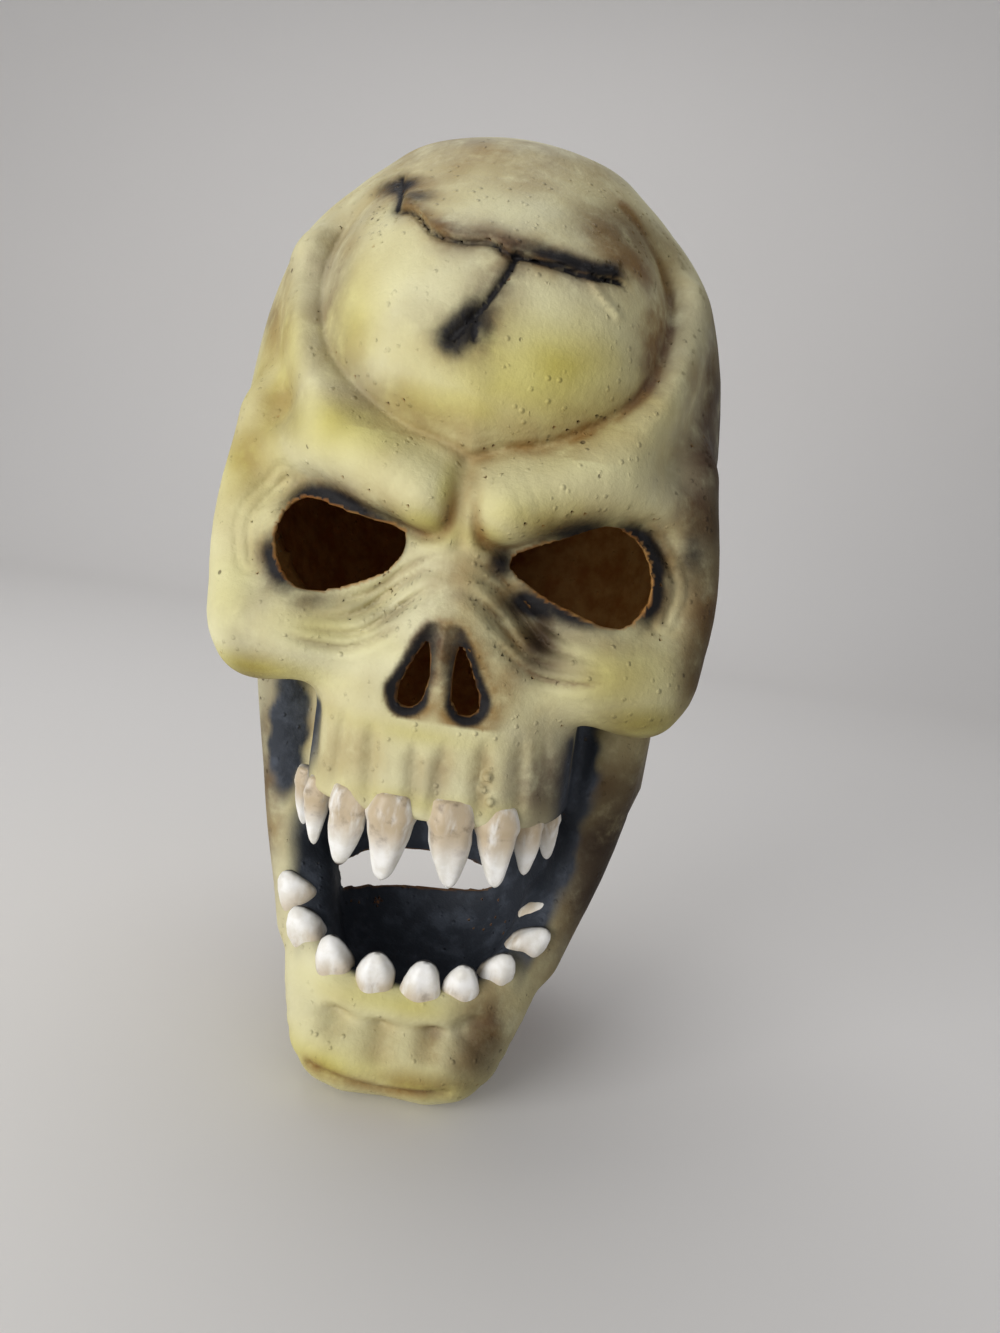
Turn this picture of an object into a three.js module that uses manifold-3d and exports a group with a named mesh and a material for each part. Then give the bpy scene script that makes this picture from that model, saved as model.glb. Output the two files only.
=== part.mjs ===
// A full head skull mask of cast latex: a thin hollow shell with cut eye holes, nostrils and a throat
// slot and an open neck edge, and two rows of fangs set into its gums.
// Millimetres. X is to the viewer's right, Y runs from the face to the back of the head, Z is up.
// The origin is at the inside top of the crown, where the mask bears on the wearer's head.
import * as THREE from "three";
import { mergeVertices } from "three/addons/utils/BufferGeometryUtils.js";
import Module from "manifold-3d";

const wasm = await Module();
wasm.setup();

// Driving dimensions
const HEIGHT = 380; // crown to chin, outside
const HALF_WIDTH = 98; // middle to the widest place of the skull, outside
const DEPTH = 236; // front teeth to the back of the head, outside
const CROWN_BACK = 0.43; // share of the depth at which the crown lies
const CROWN_TURN = -3.5; // degrees that the soft skull is turned out of true at its crown
const JAW_TURN = 3.5; // and at its jaw, where it is turned the other way
const WALL = 2.5; // latex wall
const GUM_FILL = 8; // radius of the solid latex that fills the narrow gum edges
const SEAT_GAP = 0.3; // clearance round each tooth in its seat
const INSIDE_SPREAD = 2; // how much wider the relief shows inside the cast latex than outside
const UPPER_TOOTH = 37; // longest upper fang, root included
const LOWER_TOOTH = 19; // longest lower tooth, root included
const GROOVE_DEPTH = 3.5; // groove round the forehead dome
const GROOVE_HALF = 6;
const DOME_RISE = 5; // how far the forehead dome stands proud
const BAND_RISE = 3; // raised band outside the groove
const CRACK_DEPTH = 3; // torn crack in the forehead
const CRACK_HALF = 3;
const PARTING_DEPTH = 2; // groove between the brows
const PARTING_HALF = 3;

// Fineness of the faceted skins
const OUTER_STEP = 3;
const INNER_STEP = 4;
const OUTER_FACES = 4700;
const INNER_FACES = 3000;
const TOOTH_SIDES = 8;
const FACE_BACK = 0.4; // the face, in front of this share of the depth,
const FACE_CARE = 4; // counts this many times as much as the plain back when facets are spared

const BONE = 0xd2c99a;
const TOOTH_WHITE = 0xe6e2da;

// Tables hold shares: across of the half width, back of the depth, down of the height from the crown.
// Thick, a radius, is a share of the half width.
const across = (share) => share * HALF_WIDTH;
const back = (share) => (share - CROWN_BACK) * DEPTH;
const down = (share) => WALL - share * HEIGHT;
const place = (row) => new THREE.Vector3(across(row.across), back(row.back), down(row.down));

// Names the columns of a table.
function table(columns, rows) {
  const names = columns.split(" ");
  return rows.map((row) => Object.fromEntries(names.map((name, i) => [name, row[i]])));
}

// Level sections of the skull below the temples and of the neck sleeve
const SLEEVE = table("down half front back", [
  [0.08, 0.3, 0.35, 0.66],
  [0.15, 0.6, 0.27, 0.8],
  [0.22, 0.8, 0.19, 0.9],
  [0.3, 0.93, 0.13, 0.965],
  [0.38, 0.97, 0.13, 0.975],
  [0.5, 0.94, 0.19, 0.93],
  [0.6, 0.9, 0.25, 0.87],
  [0.7, 0.86, 0.27, 0.81],
  [0.78, 0.76, 0.26, 0.75],
  [0.86, 0.6, 0.22, 0.66],
  [0.94, 0.38, 0.16, 0.55],
  [1.0, 0.25, 0.14, 0.45],
]);

// Round lumps, with their radii across, back and down
const LUMP = "across back down wide deep tall";
const CRANIUM = table(LUMP, [[0, 0.525, 0.275, 1, 0.475, 0.275]]);
const CHEEKBONE = table(LUMP, [[0.6, 0.15, 0.528, 0.29, 0.085, 0.052]]);
const EYELID = table(LUMP, [[0.46, 0.2, 0.45, 0.38, 0.105, 0.066]]);
const MOUTH = table(LUMP, [[0, 0.14, 0.76, 0.52, 0.32, 0.165]]);

const MAXILLA = { half: 0.53, front: 0.06, deep: 0.19, top: 0.5, bottom: 0.69, power: 2.6 };
// What follows the upper jaw has its across as a share of the jaw's half.
const alongMaxilla = (row) => ({ ...row, across: row.across * MAXILLA.half });

// Chains of balls that taper into each other
const CHAIN = "across back down thick";
const ORBIT_FRAME = table(CHAIN, [
  [0.82, 0.25, 0.335, 0.12],
  [0.86, 0.22, 0.4, 0.12],
  [0.86, 0.2, 0.46, 0.13],
  [0.82, 0.17, 0.52, 0.13],
  [0.76, 0.155, 0.548, 0.13],
]);
const RAMUS = table(CHAIN, [
  [0.74, 0.3, 0.56, 0.12],
  [0.68, 0.3, 0.66, 0.13],
  [0.61, 0.28, 0.76, 0.12],
  [0.5, 0.23, 0.855, 0.1],
]);
const CHEEK_RECESS = table(CHAIN, [
  [0.56, 0.14, 0.62, 0.1],
  [0.53, 0.16, 0.75, 0.09],
]);
const NOSE_BRIDGE = table(CHAIN, [
  [0, 0.11, 0.37, 0.11],
  [0, 0.12, 0.43, 0.14],
  [0, 0.11, 0.5, 0.17],
]);
const BROW = table(CHAIN, [
  [0.155, 0.09, 0.379, 0.128],
  [0.3, 0.108, 0.361, 0.15],
  [0.5, 0.135, 0.345, 0.14],
  [0.68, 0.19, 0.352, 0.13],
  [0.78, 0.24, 0.385, 0.11],
]);
const TEMPLE_BAND = table(CHAIN, [
  [0.3, 0.13, 0.35, 0.13],
  [0.52, 0.16, 0.295, 0.12],
  [0.66, 0.22, 0.24, 0.1],
  [0.7, 0.28, 0.18, 0.08],
]);
const JAW = table(CHAIN, [
  [0, 0.13, 0.955, 0.18],
  [0.22, 0.13, 0.953, 0.178],
  [0.34, 0.155, 0.915, 0.14],
  [0.43, 0.21, 0.87, 0.115],
  [0.52, 0.28, 0.81, 0.09],
]);
const LOWER_GUM = table(CHAIN, [
  [0, 0.108, 0.896, 0.085],
  [0.2, 0.113, 0.892, 0.085],
  [0.34, 0.145, 0.877, 0.08],
  [0.44, 0.195, 0.85, 0.075],
  [0.5, 0.26, 0.81, 0.07],
]);
const UPPER_GUM = table(CHAIN, [
  [0, 0.09, 0.672, 0.08],
  [0.47, 0.1, 0.67, 0.08],
  [0.755, 0.135, 0.665, 0.075],
  [0.905, 0.19, 0.66, 0.07],
]).map(alongMaxilla);
const NOSE_HOLLOW = table(CHAIN, [
  [0.04, 0.035, 0.503, 0.035],
  [0.12, 0.035, 0.565, 0.1],
]);
const NOSE_LIP = table(CHAIN, [
  [0, 0.085, 0.592, 0.04],
  [0.2, 0.09, 0.59, 0.04],
]);

// Lines drawn in front view
const LINE = "across down";
const DOME_GROOVE = table(LINE, [
  [0, 0.343],
  [0.11, 0.33],
  [0.24, 0.322],
  [0.36, 0.307],
  [0.47, 0.288],
  [0.57, 0.262],
  [0.63, 0.225],
  [0.655, 0.185],
  [0.62, 0.145],
  [0.53, 0.11],
  [0.42, 0.085],
]);
const CRACK_LINES = [
  table(LINE, [
    [-0.396, 0.125],
    [-0.33, 0.132],
    [-0.25, 0.149],
    [-0.04, 0.154],
    [0.058, 0.165],
    [0.19, 0.166],
    [0.46, 0.17],
  ]),
  table(LINE, [
    [0.058, 0.165],
    [0.034, 0.184],
    [-0.054, 0.223],
    [-0.117, 0.244],
  ]),
];
const BROW_PARTING = table(LINE, [
  [-0.015, 0.35],
  [0.005, 0.42],
]);

// Outlines of the cut holes in front view
const LEFT_EYE = table(LINE, [
  [-0.203, 0.43],
  [-0.24, 0.416],
  [-0.4, 0.41],
  [-0.6, 0.402],
  [-0.68, 0.42],
  [-0.69, 0.45],
  [-0.64, 0.474],
  [-0.55, 0.486],
  [-0.4, 0.476],
  [-0.26, 0.456],
]);
const RIGHT_EYE = table(LINE, [
  [0.188, 0.434],
  [0.23, 0.42],
  [0.36, 0.404],
  [0.52, 0.386],
  [0.65, 0.4],
  [0.705, 0.43],
  [0.69, 0.46],
  [0.6, 0.478],
  [0.42, 0.467],
  [0.27, 0.451],
]);
const NOSTRIL = table(LINE, [
  [0.055, 0.515],
  [0.09, 0.525],
  [0.15, 0.565],
  [0.13, 0.578],
  [0.07, 0.575],
  [0.045, 0.55],
]);
const THROAT_SLOT = table(LINE, [
  [-0.42, 0.828],
  [-0.36, 0.808],
  [0, 0.803],
  [0.25, 0.81],
  [0.27, 0.832],
  [0, 0.845],
  [-0.25, 0.842],
]);
const POCKET = { top: 0.6, floor: 0.892, rear: 0.42 };
// The neck edge in side view, from behind the chin up to the nape
const NECK_EDGE = table("back down", [
  [0.2, 1.01],
  [0.25, 0.965],
  [0.45, 0.88],
  [0.75, 0.76],
  [1.05, 0.66],
]);

// Teeth: where each leaves its gum, its length as a share of the longest, its width as a share of its
// length, how far it leans outwards and how far forwards, in degrees
const TOOTH = "across back down long wide lean forward";
const UPPER_TEETH = table(TOOTH, [
  [-0.96, 0.19, 0.693, 0.72, 0.3, 2, -4],
  [-0.81, 0.135, 0.692, 0.8, 0.3, 2, 0],
  [-0.53, 0.095, 0.69, 0.92, 0.4, 2, 2],
  [-0.217, 0.08, 0.688, 1, 0.43, 0, 3],
  [0.208, 0.08, 0.685, 1, 0.43, 3, 3],
  [0.538, 0.095, 0.687, 0.92, 0.4, 5, 2],
  [0.764, 0.135, 0.688, 0.8, 0.34, 6, 0],
  [0.906, 0.19, 0.692, 0.66, 0.34, 7, -4],
]).map(alongMaxilla);
const LOWER_TEETH = table(TOOTH, [
  [-0.49, 0.25, 0.806, 0.95, 0.6, 45, 5],
  [-0.475, 0.21, 0.833, 1, 0.66, 40, 10],
  [-0.4, 0.165, 0.858, 1, 0.68, 28, 15],
  [-0.27, 0.125, 0.875, 1, 0.68, 12, 15],
  [-0.1, 0.108, 0.88, 1, 0.7, 3, 15],
  [0.085, 0.108, 0.881, 1, 0.7, 3, 15],
  [0.24, 0.118, 0.878, 0.9, 0.72, 8, 15],
  [0.36, 0.15, 0.866, 0.9, 0.68, 25, 15],
  [0.45, 0.195, 0.842, 1, 0.6, 42, 10],
  [0.49, 0.24, 0.816, 0.95, 0.58, 50, 5],
]);
const TOOTH_ROOT = 0.25; // share of a tooth that sits in its gum
const TOOTH_DEEP = 0.8; // front to back thickness as a share of the width
// Half thickness of a fang along its length
const FANG = table("along girth", [
  [0, 0.72],
  [0.1, 0.92],
  [0.32, 1],
  [0.6, 0.78],
  [0.85, 0.42],
  [0.97, 0.16],
]);

// Two distances joined, with a soft fillet
function join(a, b, soft) {
  const share = Math.min(Math.max(0.5 + (0.5 * (b - a)) / soft, 0), 1);
  return b + (a - b) * share - soft * share * (1 - share);
}
const carve = (a, b, soft) => -join(-a, b, soft);
const common = (a, b, soft) => -join(-a, -b, soft);
const hump = (distance, half) => Math.exp(-((distance / half) ** 2));

// A lump as a distance function: an ellipsoid
function lump([row]) {
  const c = place(row);
  const [rx, ry, rz] = [row.wide * HALF_WIDTH, row.deep * DEPTH, row.tall * HEIGHT];
  return (x, y, z) => {
    const [px, py, pz] = [(x - c.x) / rx, (y - c.y) / ry, (z - c.z) / rz];
    const near = Math.hypot(px, py, pz) + 1e-6;
    return (near * (near - 1)) / (Math.hypot(px / rx, py / ry, pz / rz) + 1e-9);
  };
}

// A chain as a distance function: the nearest of its tapering links
function chain(rows) {
  const links = rows.slice(1).map((row, i) => {
    const from = place(rows[i]);
    const run = place(row).sub(from);
    const radius = across(rows[i].thick);
    return { from, run, radius, swell: across(row.thick) - radius, square: run.lengthSq() };
  });
  return (x, y, z) => {
    let best = Infinity;
    for (const { from, run, radius, swell, square } of links) {
      const [px, py, pz] = [x - from.x, y - from.y, z - from.z];
      const t = Math.min(Math.max((px * run.x + py * run.y + pz * run.z) / square, 0), 1);
      const reach = Math.hypot(px - t * run.x, py - t * run.y, pz - t * run.z);
      best = Math.min(best, reach - radius - swell * t);
    }
    return best;
  };
}

// A line in front view as a distance function of across and up
function line(rows) {
  const runs = rows.slice(1).map((row, i) => {
    const [x, z] = [across(rows[i].across), down(rows[i].down)];
    const [dx, dz] = [across(row.across) - x, down(row.down) - z];
    return { x, z, dx, dz, square: dx * dx + dz * dz };
  });
  return (x, z) => {
    let best = Infinity;
    for (const run of runs) {
      const [px, pz] = [x - run.x, z - run.z];
      const t = Math.min(Math.max((px * run.dx + pz * run.dz) / run.square, 0), 1);
      best = Math.min(best, Math.hypot(px - t * run.dx, pz - t * run.dz));
    }
    return best;
  };
}

// A value of a table's column, read between its rows
function between(rows, key, column, at) {
  let i = 1;
  while (i < rows.length - 1 && rows[i][key] < at) i += 1;
  const [a, b] = [rows[i - 1], rows[i]];
  const t = Math.min(Math.max((at - a[key]) / (b[key] - a[key]), 0), 1);
  return a[column] + (b[column] - a[column]) * t;
}

// An upright pillar of rounded oblong sections
function oblong(x, y, half, deep, power) {
  const size = (Math.abs(x / half) ** power + Math.abs(y / deep) ** power) ** (1 / power);
  return (size - 1) * Math.min(half, deep);
}

function sleeve(x, y, z) {
  const share = (WALL - z) / HEIGHT;
  const half = across(between(SLEEVE, "down", "half", share));
  const front = between(SLEEVE, "down", "front", share);
  const rear = between(SLEEVE, "down", "back", share);
  const side = oblong(x, y - back((front + rear) / 2), half, ((rear - front) / 2) * DEPTH, 2.2);
  return common(side, Math.max(z - down(SLEEVE[0].down), down(1) - z), 8);
}

const recess = chain(CHEEK_RECESS);
const mouth = lump(MOUTH);
function pocket(side, y, z) {
  let f = join(mouth(side, y, z), recess(side, y, z), 12);
  f = common(f, down(POCKET.floor) - z, 10);
  f = common(f, z - down(POCKET.top), 10);
  return common(f, y - back(POCKET.rear), 14);
}

function maxilla(x, y, z) {
  const { half, front, deep, top, bottom, power } = MAXILLA;
  const arch = oblong(x, y - back(front + deep), across(half), deep * DEPTH, power);
  return common(common(arch, down(bottom) - z, 5), z - down(top), 10);
}

const cranium = lump(CRANIUM);
const FORMS = [
  { shape: chain(ORBIT_FRAME), soft: 16 },
  { shape: chain(RAMUS), soft: 12 },
  { shape: pocket, soft: 7, cuts: true },
  { shape: lump(CHEEKBONE), soft: 12 },
  { shape: lump(EYELID), soft: 10 },
  { shape: maxilla, soft: 10 },
  { shape: chain(NOSE_BRIDGE), soft: 14 },
  { shape: chain(TEMPLE_BAND), soft: 12 },
  { shape: chain(BROW), soft: 5 },
  { shape: chain(JAW), soft: 8 },
  { shape: chain(LOWER_GUM), soft: 5 },
  { shape: chain(NOSE_HOLLOW), soft: 3, cuts: true },
  { shape: chain(NOSE_LIP), soft: 4 },
];

const domeGroove = line(DOME_GROOVE);
const cracks = CRACK_LINES.map(line);
const parting = line(BROW_PARTING);
const DOME_RIM = [...DOME_GROOVE].reverse();

// What stands proud of the plain forms or is pressed into them, seen from the front, each line as
// many times its width as it spreads
function relief(x, side, z, spread) {
  const share = (WALL - z) / HEIGHT;
  const fade = Math.min(Math.max((share - 0.085) / 0.06, 0), 1);
  const reach = domeGroove(side, z);
  const inside = share < DOME_GROOVE[0].down && side < across(between(DOME_RIM, "down", "across", share));
  const dome = inside
    ? DOME_RISE * (1 - hump(reach, 3 * GROOVE_HALF * spread))
    : BAND_RISE * hump(reach - 2.5 * GROOVE_HALF, 2 * GROOVE_HALF) * (1 - hump(reach, GROOVE_HALF * spread));
  let rise = fade * (dome - GROOVE_DEPTH * hump(reach, GROOVE_HALF * spread));
  for (const crack of cracks) rise -= CRACK_DEPTH * hump(crack(x, z), CRACK_HALF * spread);
  rise -= PARTING_DEPTH * hump(parting(x, z), PARTING_HALF * spread);
  return rise;
}

// How far across a point of the true skull is moved by the turn of the soft latex
const crownTurn = Math.tan(THREE.MathUtils.degToRad(CROWN_TURN));
const jawTurn = Math.tan(THREE.MathUtils.degToRad(JAW_TURN));
function turn(y, z) {
  const share = Math.min(Math.max((WALL - z) / HEIGHT / 0.4 - 0.75, 0), 1);
  return (crownTurn + (jawTurn - crownTurn) * share) * (y - back(0.07));
}

// The outer skin as a distance function: below zero inside the latex and the hollow behind it
function skin(x, y, z, spread = 1) {
  const level = x - turn(y, z);
  const side = Math.sqrt(level * level + 1);
  let f = join(cranium(side, y, z), sleeve(side, y, z), 30);
  for (const { shape, soft, cuts } of FORMS) {
    const d = shape(side, y, z);
    f = cuts ? carve(f, d, soft) : join(f, d, soft);
  }
  if (Math.abs(f) < 20 && y < back(0.45)) f -= relief(level, side, z, spread);
  return f;
}

// The inner skin lies one wall deeper and leaves the gum edges solid.
const upperFill = chain(UPPER_GUM.map((row) => ({ ...row, thick: GUM_FILL / HALF_WIDTH })));
const lowerFill = chain(LOWER_GUM.map((row) => ({ ...row, thick: GUM_FILL / HALF_WIDTH })));
function lining(x, y, z) {
  const f = skin(x, y, z, INSIDE_SPREAD);
  if (Math.abs(f) > 20) return f + WALL;
  const run = ([dx, dy, dz]) => skin(x + dx, y + dy, z + dz, INSIDE_SPREAD) - f;
  const slope = Math.hypot(run([1, 0, 0]), run([0, 1, 0]), run([0, 0, 1]));
  const deeper = f / Math.max(slope, 0.4) + WALL;
  const side = Math.abs(x - turn(y, z));
  return carve(carve(deeper, upperFill(side, y, z), 3), lowerFill(side, y, z), 3);
}

// Faces of the zero level of a distance function on a grid: each cube of the grid is six corner to
// corner wedges, and each wedge is cut where its sign changes, which always closes.
function zeroLevel(distance, step) {
  const margin = 2 * step;
  const low = [-HALF_WIDTH * 1.15, back(0), down(1)].map((v) => v - margin);
  const high = [HALF_WIDTH * 1.15, back(1), WALL].map((v) => v + margin);
  const [nx, ny, nz] = low.map((v, i) => Math.ceil((high[i] - v) / step) + 1);
  const values = sample(distance, low, step, nx, ny, nz);
  const points = [];
  const faces = [];
  const known = new Map();
  const corner = (n) => [n % nx, Math.floor(n / nx) % ny, Math.floor(n / (nx * ny))];
  const cut = (a, b) => {
    const key = a < b ? a * values.length + b : b * values.length + a;
    if (!known.has(key)) {
      const t = values[a] / (values[a] - values[b]);
      const [p, q] = [corner(a), corner(b)];
      known.set(key, points.length / 3);
      for (let i = 0; i < 3; i += 1) points.push(low[i] + step * (p[i] + t * (q[i] - p[i])));
    }
    return known.get(key);
  };
  const strides = [1, nx, nx * ny];
  const wedges = [
    [0, 1, 2],
    [1, 2, 0],
    [2, 0, 1],
    [0, 2, 1],
    [2, 1, 0],
    [1, 0, 2],
  ].map(([a, b, c], turn) => {
    const path = [0, strides[a], strides[a] + strides[b], strides[a] + strides[b] + strides[c]];
    return turn < 3 ? path : [path[0], path[1], path[3], path[2]];
  });
  const orders = [
    [0, 1, 2, 3],
    [1, 0, 3, 2],
    [2, 0, 1, 3],
    [3, 0, 2, 1],
  ];
  const pairs = [
    [0, 1, 2, 3],
    [0, 2, 3, 1],
    [0, 3, 1, 2],
    [1, 2, 0, 3],
    [1, 3, 2, 0],
    [2, 3, 0, 1],
  ];
  for (let k = 0; k < nz - 1; k += 1)
    for (let j = 0; j < ny - 1; j += 1)
      for (let i = 0; i < nx - 1; i += 1) {
        const n = i + nx * (j + ny * k);
        const first = values[n] < 0;
        const mixed = [1, nx, nx + 1].some((s) => values[n + s] < 0 !== first);
        const above = n + nx * ny;
        if (!mixed && [0, 1, nx, nx + 1].every((s) => values[above + s] < 0 === first)) continue;
        for (const wedge of wedges) {
          const at = wedge.map((offset) => n + offset);
          const inner = at.map((c) => values[c] < 0);
          const count = inner.filter(Boolean).length;
          if (count === 1 || count === 3) {
            const lone = inner.indexOf(count === 1);
            const [a, b, c, d] = orders[lone].map((v) => at[v]);
            const cuts = [cut(a, b), cut(a, c), cut(a, d)];
            faces.push(...(count === 1 ? cuts : cuts.reverse()));
          } else if (count === 2) {
            const [a, b, c, d] = pairs.find(([p, q]) => inner[p] && inner[q]).map((v) => at[v]);
            const quad = [cut(a, c), cut(a, d), cut(b, d), cut(b, c)];
            faces.push(quad[0], quad[1], quad[2], quad[0], quad[2], quad[3]);
          }
        }
      }
  return { points, faces };
}

// The distance at every corner of the grid, worked out finely only near the skin
function sample(distance, low, step, nx, ny, nz) {
  const stride = 4;
  const values = new Float32Array(nx * ny * nz).fill(stride * step);
  const at = (i, j, k) => distance(low[0] + i * step, low[1] + j * step, low[2] + k * step);
  const half = stride / 2;
  const near = stride * step * 1.1;
  for (let k = 0; k < nz; k += stride)
    for (let j = 0; j < ny; j += stride)
      for (let i = 0; i < nx; i += stride) {
        const middle = at(i + half - 0.5, j + half - 0.5, k + half - 0.5);
        for (let c = k; c < Math.min(k + stride, nz); c += 1)
          for (let b = j; b < Math.min(j + stride, ny); b += 1)
            for (let a = i; a < Math.min(i + stride, nx); a += 1) {
              const v = Math.abs(middle) > near ? middle : at(a, b, c);
              values[a + nx * (b + ny * c)] = Math.abs(v) < 1e-4 ? 1e-4 : v;
            }
      }
  return values;
}

// A queue that gives back the item of least cost first: a binary heap
class Queue {
  costs = [];
  items = [];

  push(cost, item) {
    let i = this.costs.length;
    while (i > 0) {
      const parent = (i - 1) >> 1;
      if (this.costs[parent] <= cost) break;
      this.costs[i] = this.costs[parent];
      this.items[i] = this.items[parent];
      i = parent;
    }
    this.costs[i] = cost;
    this.items[i] = item;
  }

  pop() {
    const top = this.items[0];
    const cost = this.costs.pop();
    const item = this.items.pop();
    const size = this.costs.length;
    if (!size) return top;
    let i = 0;
    for (;;) {
      let child = 2 * i + 1;
      if (child >= size) break;
      if (child + 1 < size && this.costs[child + 1] < this.costs[child]) child += 1;
      if (this.costs[child] >= cost) break;
      this.costs[i] = this.costs[child];
      this.items[i] = this.items[child];
      i = child;
    }
    this.costs[i] = cost;
    this.items[i] = item;
    return top;
  }
}

// Thins a closed mesh to a number of faces: the edge whose loss moves the surface least goes first,
// and an edge stays where losing it would pinch the mesh or turn a face over.
function thin({ points, faces }, wanted) {
  const count = points.length / 3;
  const p = Float64Array.from(points);
  const f = Int32Array.from(faces);
  const quadrics = new Float64Array(count * 10);
  const around = Array.from({ length: count }, () => new Set());
  const [u, v, n] = [new THREE.Vector3(), new THREE.Vector3(), new THREE.Vector3()];
  const point = (i, out) => out.set(p[3 * i], p[3 * i + 1], p[3 * i + 2]);
  const [a, b, c] = [new THREE.Vector3(), new THREE.Vector3(), new THREE.Vector3()];
  for (let t = 0; t < f.length; t += 3) {
    point(f[t], a);
    point(f[t + 1], b);
    point(f[t + 2], c);
    n.crossVectors(u.subVectors(b, a), v.subVectors(c, a));
    const size = n.length();
    n.divideScalar(size || 1);
    const area = a.y < back(FACE_BACK) ? FACE_CARE * size : size;
    const d = -n.dot(a);
    const plane = [n.x, n.y, n.z, d];
    for (let s = 0; s < 3; s += 1) {
      const q = 10 * f[t + s];
      let slot = 0;
      for (let i = 0; i < 4; i += 1)
        for (let j = i; j < 4; j += 1) {
          quadrics[q + slot] += area * plane[i] * plane[j];
          slot += 1;
        }
      around[f[t + s]].add(t);
    }
  }
  const error = (q, x, y, z) =>
    q[0] * x * x + q[4] * y * y + q[7] * z * z + q[9] +
    2 * (q[1] * x * y + q[2] * x * z + q[5] * y * z + q[3] * x + q[6] * y + q[8] * z);
  const sum = new Float64Array(10);
  // The best place for the merged corner, and what it costs
  function merged(i, j) {
    for (let s = 0; s < 10; s += 1) sum[s] = quadrics[10 * i + s] + quadrics[10 * j + s];
    const [xx, xy, xz, xd, yy, yz, yd, zz, zd] = sum;
    point(i, a);
    point(j, b);
    const length = a.distanceToSquared(b);
    const mid = a.clone().add(b).multiplyScalar(0.5);
    const det = xx * (yy * zz - yz * yz) - xy * (xy * zz - yz * xz) + xz * (xy * yz - yy * xz);
    let best = mid;
    if (Math.abs(det) > 1e-3 * (xx + yy + zz) ** 3) {
      const x = -(xd * (yy * zz - yz * yz) - xy * (yd * zz - yz * zd) + xz * (yd * yz - yy * zd)) / det;
      const y = -(xx * (yd * zz - zd * yz) - xd * (xy * zz - yz * xz) + xz * (xy * zd - yd * xz)) / det;
      const z = -(xx * (yy * zd - yz * yd) - xy * (xy * zd - yd * xz) + xd * (xy * yz - yy * xz)) / det;
      const solved = new THREE.Vector3(x, y, z);
      if (solved.distanceToSquared(mid) < length) best = solved;
    }
    const cost = Math.max(error(sum, best.x, best.y, best.z), 0) + 1e-4 * length * length;
    return { cost, best };
  }
  const queue = new Queue();
  const stamp = new Int32Array(count);
  const offer = (i, j) => queue.push(merged(i, j).cost, [i, j, stamp[i], stamp[j]]);
  function neighbours(i) {
    const out = new Set();
    for (const t of around[i]) for (let s = 0; s < 3; s += 1) if (f[t + s] !== i) out.add(f[t + s]);
    return out;
  }
  // Whether a face round corner i, but not round corner j, turns over when i moves to a place
  function turns(i, j, to) {
    for (const t of around[i]) {
      if (around[j].has(t)) continue;
      const s = [0, 1, 2].find((k) => f[t + k] === i);
      const [q, r] = [f[t + ((s + 1) % 3)], f[t + ((s + 2) % 3)]];
      point(q, a);
      point(r, b);
      point(i, c);
      n.crossVectors(u.subVectors(a, c), v.subVectors(b, c));
      const before = n.clone();
      n.crossVectors(u.subVectors(a, to), v.subVectors(b, to));
      if (n.dot(before) < 0.3 * n.length() * before.length()) return true;
    }
    return false;
  }
  for (let t = 0; t < f.length; t += 3)
    for (let s = 0; s < 3; s += 1) if (f[t + s] < f[t + ((s + 1) % 3)]) offer(f[t + s], f[t + ((s + 1) % 3)]);
  let left = f.length / 3;
  while (left > wanted && queue.items.length) {
    const [i, j, si, sj] = queue.pop();
    if (stamp[i] !== si || stamp[j] !== sj) continue;
    const { best } = merged(i, j);
    const near = neighbours(i);
    const shared = [...neighbours(j)].filter((k) => near.has(k));
    if (shared.length !== 2 || turns(i, j, best) || turns(j, i, best)) continue;
    for (const t of [...around[j]]) {
      if (around[i].has(t)) {
        for (let s = 0; s < 3; s += 1) around[f[t + s]].delete(t);
        f[t] = -1;
        left -= 1;
      } else {
        for (let s = 0; s < 3; s += 1) if (f[t + s] === j) f[t + s] = i;
        around[i].add(t);
      }
    }
    around[j].clear();
    stamp[j] = -1;
    stamp[i] += 1;
    p.set([best.x, best.y, best.z], 3 * i);
    for (let s = 0; s < 10; s += 1) quadrics[10 * i + s] += quadrics[10 * j + s];
    for (const k of neighbours(i)) offer(i, k);
  }
  const index = new Map();
  const kept = [];
  const corners = [];
  for (let t = 0; t < f.length; t += 3) {
    if (f[t] < 0) continue;
    for (let s = 0; s < 3; s += 1) {
      const i = f[t + s];
      if (!index.has(i)) {
        index.set(i, kept.length / 3);
        kept.push(p[3 * i], p[3 * i + 1], p[3 * i + 2]);
      }
      corners.push(index.get(i));
    }
  }
  return { points: kept, faces: corners };
}

const solidOf = ({ points, faces }) =>
  new wasm.Manifold(
    new wasm.Mesh({
      numProp: 3,
      vertProperties: Float32Array.from(points),
      triVerts: Uint32Array.from(faces),
    }),
  );

function solidOfGeometry(geometry) {
  const bare = geometry.clone();
  bare.deleteAttribute("normal");
  bare.deleteAttribute("uv");
  const merged = mergeVertices(bare, 1e-4);
  return solidOf({ points: merged.attributes.position.array, faces: merged.index.array });
}

function geometryOf(solid) {
  const mesh = solid.getMesh();
  const geometry = new THREE.BufferGeometry();
  const positions = new Float32Array(mesh.numVert * 3);
  for (let i = 0; i < mesh.numVert; i += 1)
    positions.set(mesh.vertProperties.subarray(i * mesh.numProp, i * mesh.numProp + 3), i * 3);
  geometry.setAttribute("position", new THREE.BufferAttribute(positions, 3));
  geometry.setIndex(new THREE.BufferAttribute(mesh.triVerts, 1));
  geometry.computeVertexNormals();
  return geometry;
}

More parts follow.
